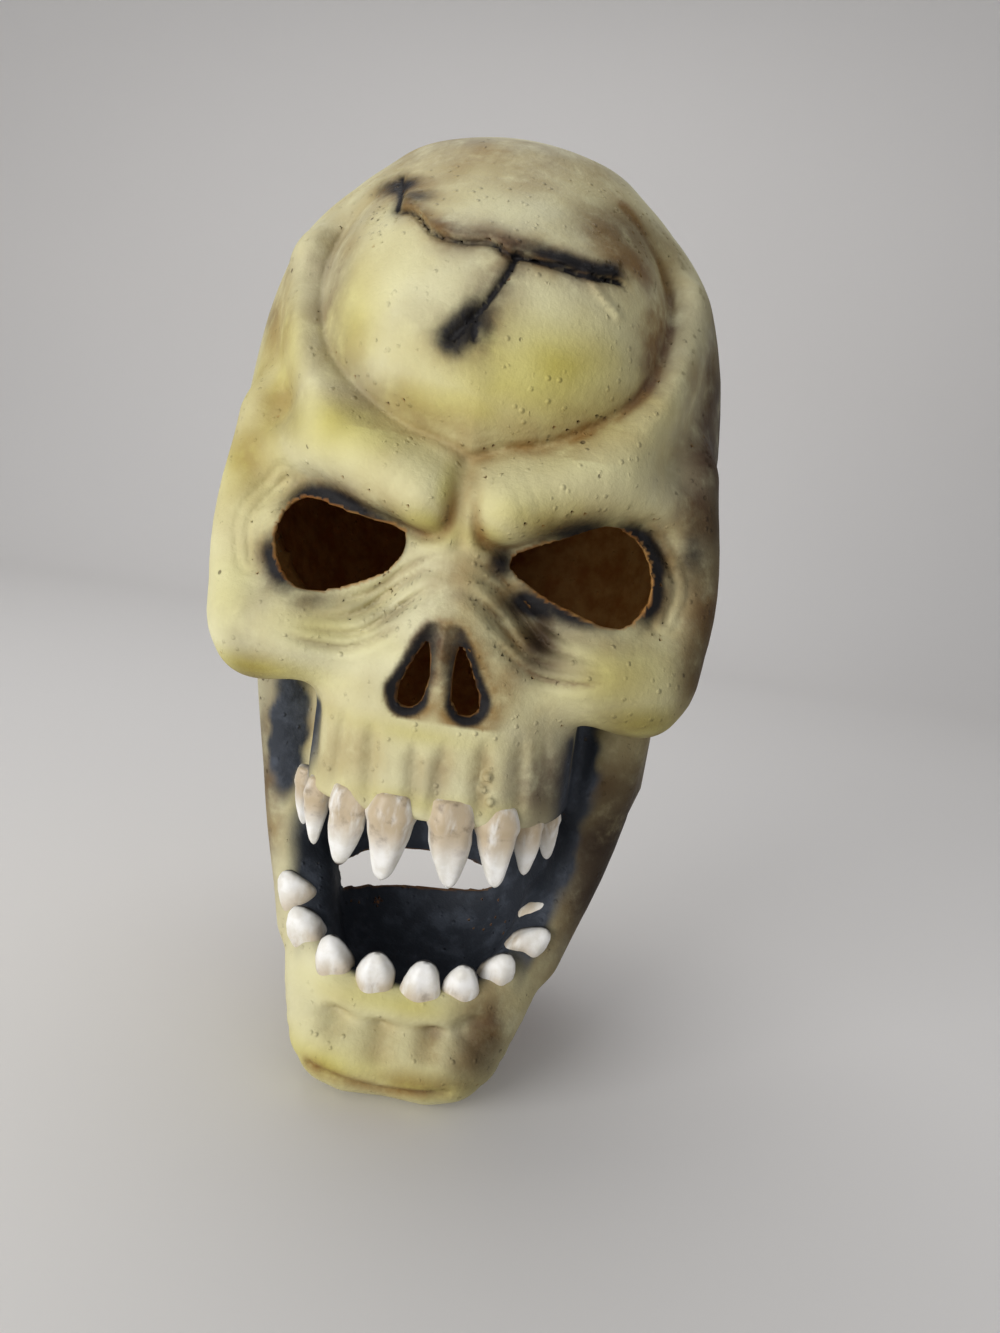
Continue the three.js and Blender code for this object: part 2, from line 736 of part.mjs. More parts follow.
// A knife: an outline in front view, or its mirror image, pushed from a near to a far depth
function knife(outline, near, far, sign = 1) {
  const curve = new THREE.CatmullRomCurve3(
    outline.map((row) => new THREE.Vector3(sign * across(row.across), down(row.down), 0)),
    true,
  );
  const corners = curve.getPoints(2 * outline.length).slice(0, -1);
  const shape = new THREE.Shape(corners.map(({ x, y }) => new THREE.Vector2(x, y)));
  const geometry = new THREE.ExtrudeGeometry(shape, { depth: (far - near) * DEPTH, bevelEnabled: false });
  geometry.rotateX(Math.PI / 2);
  geometry.translate(0, back(far), 0);
  return solidOfGeometry(geometry);
}

// Everything below the neck edge
function neckKnife() {
  const floor = down(1.3);
  const edge = NECK_EDGE.map((row) => new THREE.Vector2(back(row.back), down(row.down)));
  const [first, last] = [edge[0], edge[edge.length - 1]];
  const shape = new THREE.Shape([...edge, new THREE.Vector2(last.x, floor), new THREE.Vector2(first.x, floor)]);
  const geometry = new THREE.ExtrudeGeometry(shape, { depth: 4 * HALF_WIDTH, bevelEnabled: false });
  geometry.rotateY(Math.PI / 2).rotateX(Math.PI / 2);
  geometry.translate(-2 * HALF_WIDTH, 0, 0);
  return solidOfGeometry(geometry);
}

// One tooth, its root swollen and lengthened by a clearance when it is used to cut its seat.
// It grows from its gum along its own axis, down for an upper tooth and up for a lower one.
function tooth(row, longest, upwards, clearance) {
  const length = row.long * longest;
  const half = (row.wide * length) / 2 + clearance;
  const root = -TOOTH_ROOT * length - clearance;
  const run = length + 2 * clearance;
  const profile = FANG.map(({ along, girth }) => new THREE.Vector2(girth * half, root + along * run));
  const turned = new THREE.LatheGeometry(
    [new THREE.Vector2(0, root), ...profile, new THREE.Vector2(0, root + run)],
    TOOTH_SIDES,
  );
  turned.scale(1, 1, TOOTH_DEEP);
  const outwards = THREE.MathUtils.degToRad(row.lean) * Math.sign(row.across);
  const forwards = THREE.MathUtils.degToRad(row.forward);
  const sense = upwards ? 1 : -1;
  turned.rotateX(upwards ? Math.PI / 2 : -Math.PI / 2);
  turned.rotateX(sense * forwards);
  turned.rotateY(sense * outwards);
  const foot = place(row);
  turned.translate(foot.x, foot.y, foot.z);
  return solidOfGeometry(turned);
}

const rowsOfTeeth = [
  { name: "upper_tooth", rows: UPPER_TEETH, longest: UPPER_TOOTH, upwards: false },
  { name: "lower_tooth", rows: LOWER_TEETH, longest: LOWER_TOOTH, upwards: true },
];

function shell() {
  let solid = solidOf(thin(zeroLevel(skin, OUTER_STEP), OUTER_FACES));
  solid = solid.subtract(solidOf(thin(zeroLevel(lining, INNER_STEP), INNER_FACES)));
  solid = solid.subtract(neckKnife());
  for (const eye of [LEFT_EYE, RIGHT_EYE]) solid = solid.subtract(knife(eye, -0.1, 0.35));
  for (const sign of [-1, 1]) solid = solid.subtract(knife(NOSTRIL, -0.1, 0.3, sign));
  solid = solid.subtract(knife(THROAT_SLOT, 0.3, 0.5));
  for (const { rows, longest, upwards } of rowsOfTeeth)
    for (const row of rows) solid = solid.subtract(tooth(row, longest, upwards, SEAT_GAP));
  return solid;
}

const latex = () => new THREE.MeshStandardMaterial({ color: BONE, roughness: 0.6, metalness: 0 });
const enamelPaint = () => new THREE.MeshStandardMaterial({ color: TOOTH_WHITE, roughness: 0.45, metalness: 0 });

function named(name, solid, material) {
  const mesh = new THREE.Mesh(geometryOf(solid), material);
  mesh.name = name;
  return mesh;
}

const mask = new THREE.Group();
mask.add(named("skull_shell", shell(), latex()));
for (const { name, rows, longest, upwards } of rowsOfTeeth)
  rows.forEach((row, i) =>
    mask.add(named(`${name}_${i + 1}`, tooth(row, longest, upwards, 0), enamelPaint())),
  );

export default mask;
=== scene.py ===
"""Looks of a full head skull mask: cast latex painted with an airbrush, standing alone in a plain studio.

The shell and the fangs are worked out here from named sizes in millimetres, in the same frame as
the solid model: X to the viewer's right, Y from the face to the back of the head, Z up, and the
origin at the inside top of the crown."""
import math
from types import SimpleNamespace

import bmesh
import bpy
import numpy as np
from mathutils import Matrix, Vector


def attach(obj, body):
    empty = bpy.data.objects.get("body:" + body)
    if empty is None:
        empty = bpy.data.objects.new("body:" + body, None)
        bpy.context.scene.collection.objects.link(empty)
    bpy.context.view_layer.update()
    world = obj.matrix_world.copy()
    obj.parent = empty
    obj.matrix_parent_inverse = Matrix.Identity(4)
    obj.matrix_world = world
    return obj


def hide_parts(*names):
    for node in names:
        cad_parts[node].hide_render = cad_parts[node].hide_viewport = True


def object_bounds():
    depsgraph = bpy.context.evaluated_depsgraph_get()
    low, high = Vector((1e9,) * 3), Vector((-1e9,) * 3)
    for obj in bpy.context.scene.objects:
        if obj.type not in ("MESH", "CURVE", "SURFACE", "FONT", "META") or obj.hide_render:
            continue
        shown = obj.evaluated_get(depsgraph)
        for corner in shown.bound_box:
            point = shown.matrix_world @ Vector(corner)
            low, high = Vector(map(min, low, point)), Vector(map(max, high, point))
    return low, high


bl_info = {
    "name": "Skull mask",
    "version": (1, 0, 0),
    "blender": (4, 5, 0),
    "location": "3D View > Sidebar > Skull mask",
    "description": "Builds a painted latex skull mask with its fangs, its floor, light and camera",
    "category": "Add Mesh",
}

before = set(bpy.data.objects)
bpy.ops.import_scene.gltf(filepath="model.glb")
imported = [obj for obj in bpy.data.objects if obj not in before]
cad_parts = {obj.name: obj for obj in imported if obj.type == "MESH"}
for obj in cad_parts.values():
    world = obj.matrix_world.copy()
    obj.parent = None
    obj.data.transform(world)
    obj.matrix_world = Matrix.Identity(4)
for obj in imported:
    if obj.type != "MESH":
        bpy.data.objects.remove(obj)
CAD_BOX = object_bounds()
MM = 0.001

# Driving sizes, in millimetres, that the panel shows and can change
mask = SimpleNamespace(
    height=380.0,
    half_width=98.0,
    depth=236.0,
    wall=2.5,
    upper_tooth=37.0,
    lower_tooth=20.5,
    dome_rise=5.0,
    groove_depth=3.5,
    crack_depth=1.9,
    tear_rise=2.3,
    wrinkle_depth=1.1,
)

# Driving sizes that stay, in millimetres, and turns in degrees
CROWN_BACK = 0.43  # share of the depth that lies in front of the origin
CROWN_TURN = -3.5  # how far the soft skull is turned out of true at its crown
JAW_TURN = 3.5
GUM_FILL = 8.0
GROOVE_HALF = 6.0
CREASE_DEPTH = 1.6  # fine crease at the bottom of the groove round the dome
CREASE_HALF = 2.0
BAND_RISE = 3.0
CRACK_HALF = 1.5
WRINKLE_HALF = 1.5
ROOT_DEPTH = 2.0
ROOT_HALF = 3.2
CHIN_GROOVE_DEPTH = 1.8
CHIN_GROOVE_HALF = 5.0
PARTING_DEPTH = 2.0
PARTING_HALF = 3.0
BROW_EDGE_DEPTH = 2.6
BROW_EDGE_HALF = 2.6
LOBE_RISE = 4.6
SPUR_RISE = 1.2
VALLEY_DEPTH = 3.5
VALLEY_HALF = 9.0
CHIN_CREASE_DEPTH = 1.6
CHIN_CREASE_HALF = 2.2

# The photograph's camera
FOCAL_PIXELS = 1000.0
FRAME_PIXELS = 1000.0
CAMERA_PLACE = (0.0326, -0.434, -0.1331)
CAMERA_AZIMUTH = 2.0
CAMERA_PITCH = 10.5
CAMERA_ROLL = -8.61


def table(columns, rows):
    """A table as one array a column, by the names of the columns."""
    return dict(zip(columns.split(), np.array(rows, np.float32).T))


# Tables hold shares: across of the half width, back of the depth, down of the height from the crown.
# Thick, a radius, is a share of the half width.
SLEEVE = table("down half front back", [
    [0.08, 0.3, 0.35, 0.66],
    [0.15, 0.6, 0.27, 0.8],
    [0.22, 0.8, 0.19, 0.9],
    [0.3, 0.93, 0.13, 0.965],
    [0.38, 0.97, 0.13, 0.975],
    [0.5, 0.94, 0.19, 0.93],
    [0.6, 0.9, 0.25, 0.87],
    [0.7, 0.86, 0.27, 0.81],
    [0.78, 0.76, 0.26, 0.75],
    [0.86, 0.6, 0.22, 0.66],
    [0.94, 0.38, 0.16, 0.55],
    [1.0, 0.25, 0.14, 0.45],
])
LUMP = "across back down wide deep tall"
CRANIUM = table(LUMP, [[0, 0.525, 0.275, 1, 0.475, 0.275]])
CHEEKBONE = table(LUMP, [[0.6, 0.15, 0.528, 0.29, 0.085, 0.052]])
EYELID = table(LUMP, [[0.46, 0.2, 0.45, 0.38, 0.105, 0.066]])
MOUTH = table(LUMP, [[0, 0.14, 0.76, 0.52, 0.32, 0.165]])

CHAIN = "across back down thick"
ORBIT_FRAME = table(CHAIN, [
    [0.82, 0.25, 0.335, 0.12],
    [0.86, 0.22, 0.4, 0.12],
    [0.86, 0.2, 0.46, 0.13],
    [0.82, 0.17, 0.52, 0.13],
    [0.76, 0.155, 0.548, 0.13],
])
RAMUS = table(CHAIN, [
    [0.74, 0.3, 0.56, 0.12],
    [0.68, 0.3, 0.66, 0.13],
    [0.61, 0.28, 0.76, 0.12],
    [0.5, 0.23, 0.855, 0.1],
])
CHEEK_RECESS = table(CHAIN, [[0.56, 0.14, 0.62, 0.1], [0.53, 0.16, 0.75, 0.09]])
NOSE_BRIDGE = table(CHAIN, [[0, 0.11, 0.37, 0.11], [0, 0.12, 0.43, 0.14], [0, 0.11, 0.5, 0.17]])
BROW = table(CHAIN, [
    [0.155, 0.09, 0.379, 0.128],
    [0.3, 0.108, 0.361, 0.15],
    [0.5, 0.135, 0.345, 0.14],
    [0.68, 0.19, 0.352, 0.13],
    [0.78, 0.24, 0.385, 0.11],
])
TEMPLE_BAND = table(CHAIN, [
    [0.3, 0.13, 0.35, 0.13],
    [0.52, 0.16, 0.295, 0.12],
    [0.66, 0.22, 0.24, 0.1],
    [0.7, 0.28, 0.18, 0.08],
])
JAW = table(CHAIN, [
    [0, 0.13, 0.955, 0.18],
    [0.22, 0.13, 0.953, 0.178],
    [0.34, 0.155, 0.915, 0.14],
    [0.43, 0.21, 0.87, 0.115],
    [0.52, 0.28, 0.81, 0.09],
])
LOWER_GUM = table(CHAIN, [
    [0, 0.108, 0.896, 0.085],
    [0.2, 0.113, 0.892, 0.085],
    [0.34, 0.145, 0.877, 0.08],
    [0.44, 0.195, 0.85, 0.075],
    [0.5, 0.26, 0.81, 0.07],
])
MAXILLA = {"half": 0.53, "front": 0.06, "deep": 0.19, "top": 0.5, "bottom": 0.69, "power": 2.6}


def along_maxilla(rows):
    """Turns an across that is a share of the upper jaw's half into one of the half width."""
    return dict(rows, across=rows["across"] * MAXILLA["half"])


UPPER_GUM = along_maxilla(table(CHAIN, [
    [0, 0.09, 0.672, 0.08],
    [0.47, 0.1, 0.67, 0.08],
    [0.755, 0.135, 0.665, 0.075],
    [0.905, 0.19, 0.66, 0.07],
]))
NOSE_HOLLOW = table(CHAIN, [[0.04, 0.035, 0.503, 0.035], [0.12, 0.035, 0.565, 0.1]])
NOSE_LIP = table(CHAIN, [[0, 0.085, 0.592, 0.04], [0.2, 0.09, 0.59, 0.04]])
POCKET = {"top": 0.6, "floor": 0.892, "rear": 0.42}

# Lines drawn in front view. Those of both sides are drawn once, on the right.
LINE = "across down"
DOME_GROOVE = table(LINE, [
    [0, 0.343],
    [0.11, 0.33],
    [0.24, 0.322],
    [0.36, 0.307],
    [0.47, 0.288],
    [0.57, 0.262],
    [0.63, 0.225],
    [0.655, 0.185],
    [0.62, 0.145],
    [0.53, 0.11],
    [0.42, 0.085],
])
CRACK_START = table(LINE, [[-0.42, 0.088], [-0.4, 0.108], [-0.392, 0.13]])
CRACK = table(LINE, [
    [-0.392, 0.13],
    [-0.35, 0.129],
    [-0.31, 0.134],
    [-0.25, 0.149],
    [-0.19, 0.155],
    [-0.12, 0.157],
    [-0.04, 0.155],
    [0.03, 0.163],
    [0.09, 0.164],
    [0.19, 0.166],
    [0.31, 0.17],
    [0.4, 0.167],
    [0.46, 0.17],
])
CRACK_STEM = table(LINE, [[0.058, 0.165], [0.034, 0.184], [-0.02, 0.211], [-0.054, 0.223], [-0.117, 0.244]])
CRACK_FORK = table(LINE, [[-0.054, 0.223], [-0.04, 0.243]])
CRACK_SPUR = table(LINE, [[0.3, 0.169], [0.36, 0.185], [0.437, 0.2]])
WRINKLES = [
    table(LINE, [[0.0, 0.43], [0.1, 0.436], [0.2, 0.455], [0.31, 0.48], [0.45, 0.497]]),
    table(LINE, [[0.0, 0.441], [0.1, 0.448], [0.22, 0.472], [0.36, 0.503], [0.56, 0.509]]),
    table(LINE, [[0.0, 0.461], [0.1, 0.468], [0.23, 0.5], [0.36, 0.52], [0.6, 0.517]]),
    table(LINE, [[0.12, 0.487], [0.22, 0.512], [0.35, 0.533], [0.5, 0.533], [0.62, 0.526]]),
]
CROW_FEET = table(LINE, [[0.7, 0.387], [0.81, 0.429], [0.79, 0.466]])
BROW_PARTING = table(LINE, [[-0.015, 0.35], [0.005, 0.42]])
BROW_EDGES = [
    table(LINE, [
        [-0.5, 0.395],
        [-0.33, 0.402],
        [-0.2, 0.413],
        [-0.11, 0.416],
        [-0.055, 0.408],
        [-0.035, 0.385],
        [-0.04, 0.355],
    ]),
    table(LINE, [
        [0.5, 0.38],
        [0.34, 0.398],
        [0.25, 0.413],
        [0.17, 0.42],
        [0.09, 0.415],
        [0.05, 0.395],
        [0.045, 0.36],
    ]),
]
BROW_LOBES = table(LINE, [[-0.15, 0.383], [0.165, 0.386]])
TEMPLE_VALLEY = table(LINE, [[0.72, 0.33], [0.8, 0.25], [0.76, 0.19]])
CHIN_CREASE = table(LINE, [[-0.3, 0.965], [0, 0.977], [0.25, 0.968]])
ROOT_LINES = [
    table(LINE, [[-0.485, 0.58], [-0.46, 0.675]]),
    table(LINE, [[-0.334, 0.583], [-0.348, 0.68]]),
    table(LINE, [[-0.222, 0.59], [-0.2, 0.682]]),
    table(LINE, [[-0.055, 0.605], [-0.035, 0.682]]),
    table(LINE, [[0.06, 0.6], [0.04, 0.68]]),
    table(LINE, [[0.198, 0.59], [0.215, 0.683]]),
    table(LINE, [[0.324, 0.585], [0.355, 0.68]]),
    table(LINE, [[0.4, 0.58], [0.45, 0.675]]),
]
CHIN_LINES = [
    table(LINE, [[-0.24, 0.895], [-0.225, 0.935]]),
    table(LINE, [[-0.06, 0.895], [-0.025, 0.955]]),
    table(LINE, [[0.148, 0.895], [0.162, 0.945]]),
    table(LINE, [[0.3, 0.885], [0.29, 0.925]]),
]

BUBBLES = table("across down size", [[0.225, 0.635, 2.2], [0.214, 0.649, 1.9], [0.247, 0.659, 1.9]])

# Outlines of the cut holes in front view
LEFT_EYE = table(LINE, [
    [-0.203, 0.43],
    [-0.24, 0.416],
    [-0.4, 0.41],
    [-0.6, 0.402],
    [-0.68, 0.42],
    [-0.69, 0.45],
    [-0.64, 0.474],
    [-0.55, 0.486],
    [-0.4, 0.476],
    [-0.26, 0.456],
])
RIGHT_EYE = table(LINE, [
    [0.188, 0.434],
    [0.23, 0.42],
    [0.36, 0.404],
    [0.52, 0.386],
    [0.65, 0.4],
    [0.705, 0.43],
    [0.69, 0.46],
    [0.6, 0.478],
    [0.42, 0.467],
    [0.27, 0.451],
])
NOSTRIL = table(LINE, [
    [0.055, 0.515],
    [0.09, 0.525],
    [0.15, 0.565],
    [0.13, 0.578],
    [0.07, 0.575],
    [0.045, 0.55],
])
THROAT_SLOT = table(LINE, [
    [-0.42, 0.828],
    [-0.36, 0.808],
    [0, 0.803],
    [0.25, 0.81],
    [0.27, 0.832],
    [0, 0.845],
    [-0.25, 0.842],
])
NECK_EDGE = table("back down", [[0.2, 1.01], [0.25, 0.965], [0.45, 0.88], [0.75, 0.76], [1.05, 0.66]])

# Teeth: where each leaves its gum, its length as a share of the longest, its width as a share of its
# length, how far it leans outwards and how far forwards, in degrees
TOOTH = "across back down long wide lean forward"
UPPER_TEETH = along_maxilla(table(TOOTH, [
    [-0.96, 0.19, 0.693, 0.72, 0.3, 2, -4],
    [-0.81, 0.135, 0.692, 0.8, 0.3, 2, 0],
    [-0.53, 0.095, 0.69, 0.92, 0.4, 2, 2],
    [-0.217, 0.08, 0.688, 1, 0.43, 0, 3],
    [0.208, 0.08, 0.685, 1, 0.43, 3, 3],
    [0.538, 0.095, 0.687, 0.92, 0.4, 5, 2],
    [0.764, 0.135, 0.688, 0.8, 0.34, 6, 0],
    [0.906, 0.19, 0.692, 0.66, 0.34, 7, -4],
]))
LOWER_TEETH = table(TOOTH, [
    [-0.49, 0.25, 0.806, 0.95, 0.6, 45, 5],
    [-0.475, 0.21, 0.833, 1, 0.66, 40, 10],
    [-0.4, 0.165, 0.858, 1, 0.68, 28, 15],
    [-0.27, 0.125, 0.875, 1, 0.68, 12, 15],
    [-0.1, 0.108, 0.88, 1, 0.7, 3, 15],
    [0.085, 0.108, 0.881, 1, 0.7, 3, 15],
    [0.24, 0.118, 0.878, 0.9, 0.72, 8, 15],
    [0.36, 0.15, 0.866, 0.9, 0.68, 25, 15],
    [0.45, 0.195, 0.842, 1, 0.6, 42, 10],
    [0.49, 0.24, 0.816, 0.95, 0.58, 50, 5],
])
TOOTH_ROOT = 0.25
TOOTH_DEEP = 0.8
BROKEN_FANG = 2  # which upper fang, from the left and from 0, has a broken tip


def across(share):
    return share * mask.half_width


def back(share):
    return (share - CROWN_BACK) * mask.depth


def down(share):
    return mask.wall - share * mask.height


def smooth(rows, parts=4):
    """Points of a curve through the rows of a table, cubic between one row and the next."""
    names = list(rows)
    points = np.stack([rows[name] for name in names], 1)
    if len(points) < 3:
        return rows
    ends = np.concatenate([[2 * points[0] - points[1]], points, [2 * points[-1] - points[-2]]])
    t = np.linspace(0, 1, parts, endpoint=False)[:, None]
    a, b, c, d = (ends[i:len(ends) - 3 + i, None] for i in range(4))
    curve = 0.5 * (2 * b + (c - a) * t + (2 * a - 5 * b + 4 * c - d) * t**2 + (3 * b - a - 3 * c + d) * t**3)
    curve = np.concatenate([curve.reshape(-1, points.shape[1]), points[-1:]])
    return dict(zip(names, curve.astype(np.float32).T))


def join(a, b, soft):
    """Two distances joined: the lesser one, less a fillet where they are nearer to each other than soft."""
    share = np.clip(0.5 + 0.5 * (b - a) / soft, 0, 1)
    return b + (a - b) * share - soft * share * (1 - share)


def carve(a, b, soft):
    return -join(-a, b, soft)


def common(a, b, soft):
    return -join(-a, -b, soft)


def hump(distance, half):
    return np.exp(-((distance / half) ** 2))


def rise(value, low, high):
    """From 0 at low to 1 at high, level at both ends."""
    share = np.clip((value - low) / (high - low), 0, 1)
    return share * share * (3 - 2 * share)


def lump(rows, x, y, z):
    """Distance to an ellipsoid: its level, times the level less one, over the slope of the level."""
    rx = rows["wide"][0] * mask.half_width
    ry = rows["deep"][0] * mask.depth
    rz = rows["tall"][0] * mask.height
    px = (x - across(rows["across"][0])) / rx
    py = (y - back(rows["back"][0])) / ry
    pz = (z - down(rows["down"][0])) / rz
    near = np.sqrt(px * px + py * py + pz * pz) + 1e-6
    slope = np.sqrt((px / rx) ** 2 + (py / ry) ** 2 + (pz / rz) ** 2) + 1e-9
    return near * (near - 1) / slope


def chain(rows, x, y, z):
    """Distance to the nearest of the tapering links between balls along a smooth path."""
    path = smooth(rows, 3)
    places = np.stack([across(path["across"]), back(path["back"]), down(path["down"])], 1)
    thick = across(path["thick"])
    best = np.full(x.shape, 1e3, np.float32)
    for start, end, radius, swell in zip(places[:-1], places[1:], thick[:-1], np.diff(thick)):
        run = end - start
        px, py, pz = x - start[0], y - start[1], z - start[2]
        t = np.clip((px * run[0] + py * run[1] + pz * run[2]) / (run @ run), 0, 1)
        reach = np.sqrt((px - t * run[0]) ** 2 + (py - t * run[1]) ** 2 + (pz - t * run[2]) ** 2)
        best = np.minimum(best, reach - radius - swell * t)
    return best


def line(rows, x, z):
    """Distance in front view to a smooth line."""
    return traced(rows, x, z)[0]


def traced(rows, x, z):
    """Distance in front view to a smooth line, and how far along it the nearest point lies, from 0 to 1."""
    path = smooth(rows)
    xs, zs = across(path["across"]), down(path["down"])
    best = np.full(x.shape, 1e3, np.float32)
    along = np.zeros(x.shape, np.float32)
    for i, (x0, z0, dx, dz) in enumerate(zip(xs[:-1], zs[:-1], np.diff(xs), np.diff(zs))):
        px, pz = x - x0, z - z0
        t = np.clip((px * dx + pz * dz) / (dx * dx + dz * dz), 0, 1)
        reach = np.hypot(px - t * dx, pz - t * dz)
        along = np.where(reach < best, (i + t) / (len(xs) - 1), along)
        best = np.minimum(best, reach)
    return best, along


def furrow(rows, x, z, half):
    """A groove from 0 to 1 along a line, which runs out at both ends."""
    reach, along = traced(rows, x, z)
    taper = rise(along, 0, 0.35) * rise(1 - along, -0.1, 0.3)
    return taper * hump(reach, half * (0.6 + 0.4 * taper))


def torn(x, z):
    """How far above the crack a point lies in front view, and how much of the tear there is beside it."""
    path = smooth(CRACK)
    level = np.interp(x, across(path["across"]), down(path["down"])).astype(np.float32)
    ends = rise(x, across(-0.42), across(-0.36)) * rise(-x, across(-0.48), across(-0.4))
    return z - level, ends


def hole(rows, x, z):
    """Distance in front view to a closed outline, below zero inside it: the nearest of its sides, with
    the sign from how often a line to the right crosses it."""
    closed = {name: np.concatenate([v[-1:], v, v[:2]]) for name, v in rows.items()}
    path = smooth(closed)
    first, last = 4, 4 + 4 * len(rows["down"]) + 1
    xs, zs = across(path["across"])[first:last], down(path["down"])[first:last]
    best = np.full(x.shape, 1e3, np.float32)
    odd = np.zeros(x.shape, bool)
    for x0, z0, x1, z1 in zip(xs[:-1], zs[:-1], xs[1:], zs[1:]):
        px, pz, dx, dz = x - x0, z - z0, x1 - x0, z1 - z0
        t = np.clip((px * dx + pz * dz) / (dx * dx + dz * dz), 0, 1)
        best = np.minimum(best, np.hypot(px - t * dx, pz - t * dz))
        if dz:
            odd ^= ((z0 > z) != (z1 > z)) & (px < dx * pz / dz)
    return np.where(odd, -best, best)


def between(rows, key, column, at):
    return np.interp(at, rows[key], rows[column]).astype(np.float32)


def oblong(x, y, half, deep, power):
    """An upright pillar: the power mean of both shares less one, times the lesser half size."""
    size = (np.abs(x / half) ** power + np.abs(y / deep) ** power) ** (1 / power)
    return (size - 1) * np.minimum(half, deep)


def sleeve(x, y, z):
    share = (mask.wall - z) / mask.height
    half = across(between(SLEEVE, "down", "half", share))
    front = between(SLEEVE, "down", "front", share)
    rear = between(SLEEVE, "down", "back", share)
    side = oblong(x, y - back((front + rear) / 2), half, (rear - front) / 2 * mask.depth, 2.2)
    return common(side, np.maximum(z - down(SLEEVE["down"][0]), down(1) - z), 8)


def pocket(x, y, z):
    """The open mouth and the recesses beside it: a lump and two chains within a floor, a roof and a rear."""
    f = join(lump(MOUTH, x, y, z), chain(CHEEK_RECESS, x, y, z), 12)
    f = common(f, down(POCKET["floor"]) - z, 10)
    f = common(f, z - down(POCKET["top"]), 10)
    return common(f, y - back(POCKET["rear"]), 14)


def maxilla(x, y, z):
    m = MAXILLA
    arch = oblong(x, y - back(m["front"] + m["deep"]), across(m["half"]), m["deep"] * mask.depth, m["power"])
    return common(common(arch, down(m["bottom"]) - z, 5), z - down(m["top"]), 10)


def turn(y, z):
    """How far across a point of the true skull is moved by the turn of the soft latex."""
    crown, jaw = math.tan(math.radians(CROWN_TURN)), math.tan(math.radians(JAW_TURN))
    share = np.clip((mask.wall - z) / mask.height / 0.4 - 0.75, 0, 1)
    return (crown + (jaw - crown) * share) * (y - back(0.07))


def relief(x, side, z):
    """What stands proud of the plain forms or is pressed into them: humps round lines in front view."""
    share = (mask.wall - z) / mask.height
    fade = np.clip((share - 0.085) / 0.06, 0, 1)
    reach = line(DOME_GROOVE, side, z)
    rim = np.interp(share, DOME_GROOVE["down"][::-1], DOME_GROOVE["across"][::-1])
    inside = (share < DOME_GROOVE["down"][0]) & (side < across(rim))
    edge = hump(reach, GROOVE_HALF)
    band = BAND_RISE * hump(reach - 2.5 * GROOVE_HALF, 2 * GROOVE_HALF) * (1 - edge)
    dome = np.where(inside, mask.dome_rise * (1 - hump(reach, 3 * GROOVE_HALF)), band)
    f = fade * (dome - mask.groove_depth * edge - CREASE_DEPTH * hump(reach, CREASE_HALF))
    above, ends = torn(x, z)
    lifted = 0.7 + 0.3 * uneven(x, x, z, 6)
    f += mask.tear_rise * ends * lifted * rise(above, -1.2, 1.3) * np.exp(-((np.maximum(above, 0) / 8) ** 2))
    f -= mask.crack_depth * ends * hump(above + 1.3, CRACK_HALF)
    for rows, depth in ((CRACK_START, 0.8), (CRACK_STEM, 0.9), (CRACK_FORK, 0.6)):
        f -= depth * mask.crack_depth * hump(line(rows, x, z), CRACK_HALF)
    f += SPUR_RISE * hump(line(CRACK_SPUR, x, z), CRACK_HALF)
    for rows in WRINKLES:
        pressed = furrow(rows, side, z, WRINKLE_HALF)
        f -= mask.wrinkle_depth * pressed
        reach, along = traced(rows, side, z)
        ridge = rise(along, 0, 0.2) * rise(1 - along, 0, 0.3)
        f += 0.5 * mask.wrinkle_depth * ridge * hump(reach - 2.6 * WRINKLE_HALF, 1.4 * WRINKLE_HALF)
    reach = line(CROW_FEET, side, z)
    f -= 0.7 * hump(reach, 1.5) + 0.5 * hump(reach - 5, 1.5)
    f -= PARTING_DEPTH * hump(line(BROW_PARTING, x, z), PARTING_HALF)
    for rows in BROW_EDGES:
        f -= BROW_EDGE_DEPTH * furrow(rows, x, z, BROW_EDGE_HALF)
    for u, v in zip(*BROW_LOBES.values()):
        f += LOBE_RISE * hump(np.hypot((x - across(u)) / 12, (z - down(v)) / 10), 1)
    f -= VALLEY_DEPTH * hump(line(TEMPLE_VALLEY, side, z), VALLEY_HALF)
    f -= CHIN_CREASE_DEPTH * hump(line(CHIN_CREASE, x, z), CHIN_CREASE_HALF)
    for rows in ROOT_LINES:
        f -= ROOT_DEPTH * furrow(rows, x, z, ROOT_HALF)
    for rows in CHIN_LINES:
        f -= CHIN_GROOVE_DEPTH * furrow(rows, x, z, CHIN_GROOVE_HALF)
    for u, v, size in zip(*BUBBLES.values()):
        f += 0.8 * size * rise(-np.hypot(x - across(u), z - down(v)), -1.2 * size, -0.5 * size)
    return f


FORMS = [
    (chain, ORBIT_FRAME, 16, join),
    (chain, RAMUS, 12, join),
    (None, pocket, 7, carve),
    (lump, CHEEKBONE, 12, join),
    (lump, EYELID, 10, join),
    (None, maxilla, 10, join),
    (chain, NOSE_BRIDGE, 14, join),
    (chain, TEMPLE_BAND, 12, join),
    (chain, BROW, 5, join),
    (chain, JAW, 8, join),
    (chain, LOWER_GUM, 5, join),
    (chain, NOSE_HOLLOW, 3, carve),
    (chain, NOSE_LIP, 4, join),
]


def forms(side, y, z):
    """The skull without its relief: each form joined to the ones before it, or carved out of them."""
    f = join(lump(CRANIUM, side, y, z), sleeve(side, y, z), 30)
    for shape, what, soft, how in FORMS:
        f = how(f, shape(what, side, y, z) if shape else what(side, y, z), soft)
    return f


def skin(x, y, z):
    """The outer skin as a distance function, below zero inside the latex and the hollow behind it."""
    level = x - turn(y, z)
    side = np.sqrt(level * level + 1)
    f = forms(side, y, z)
    near = (np.abs(f) < 20) & (y < back(0.45))
    f[near] -= relief(level[near], side[near], z[near])
    return f


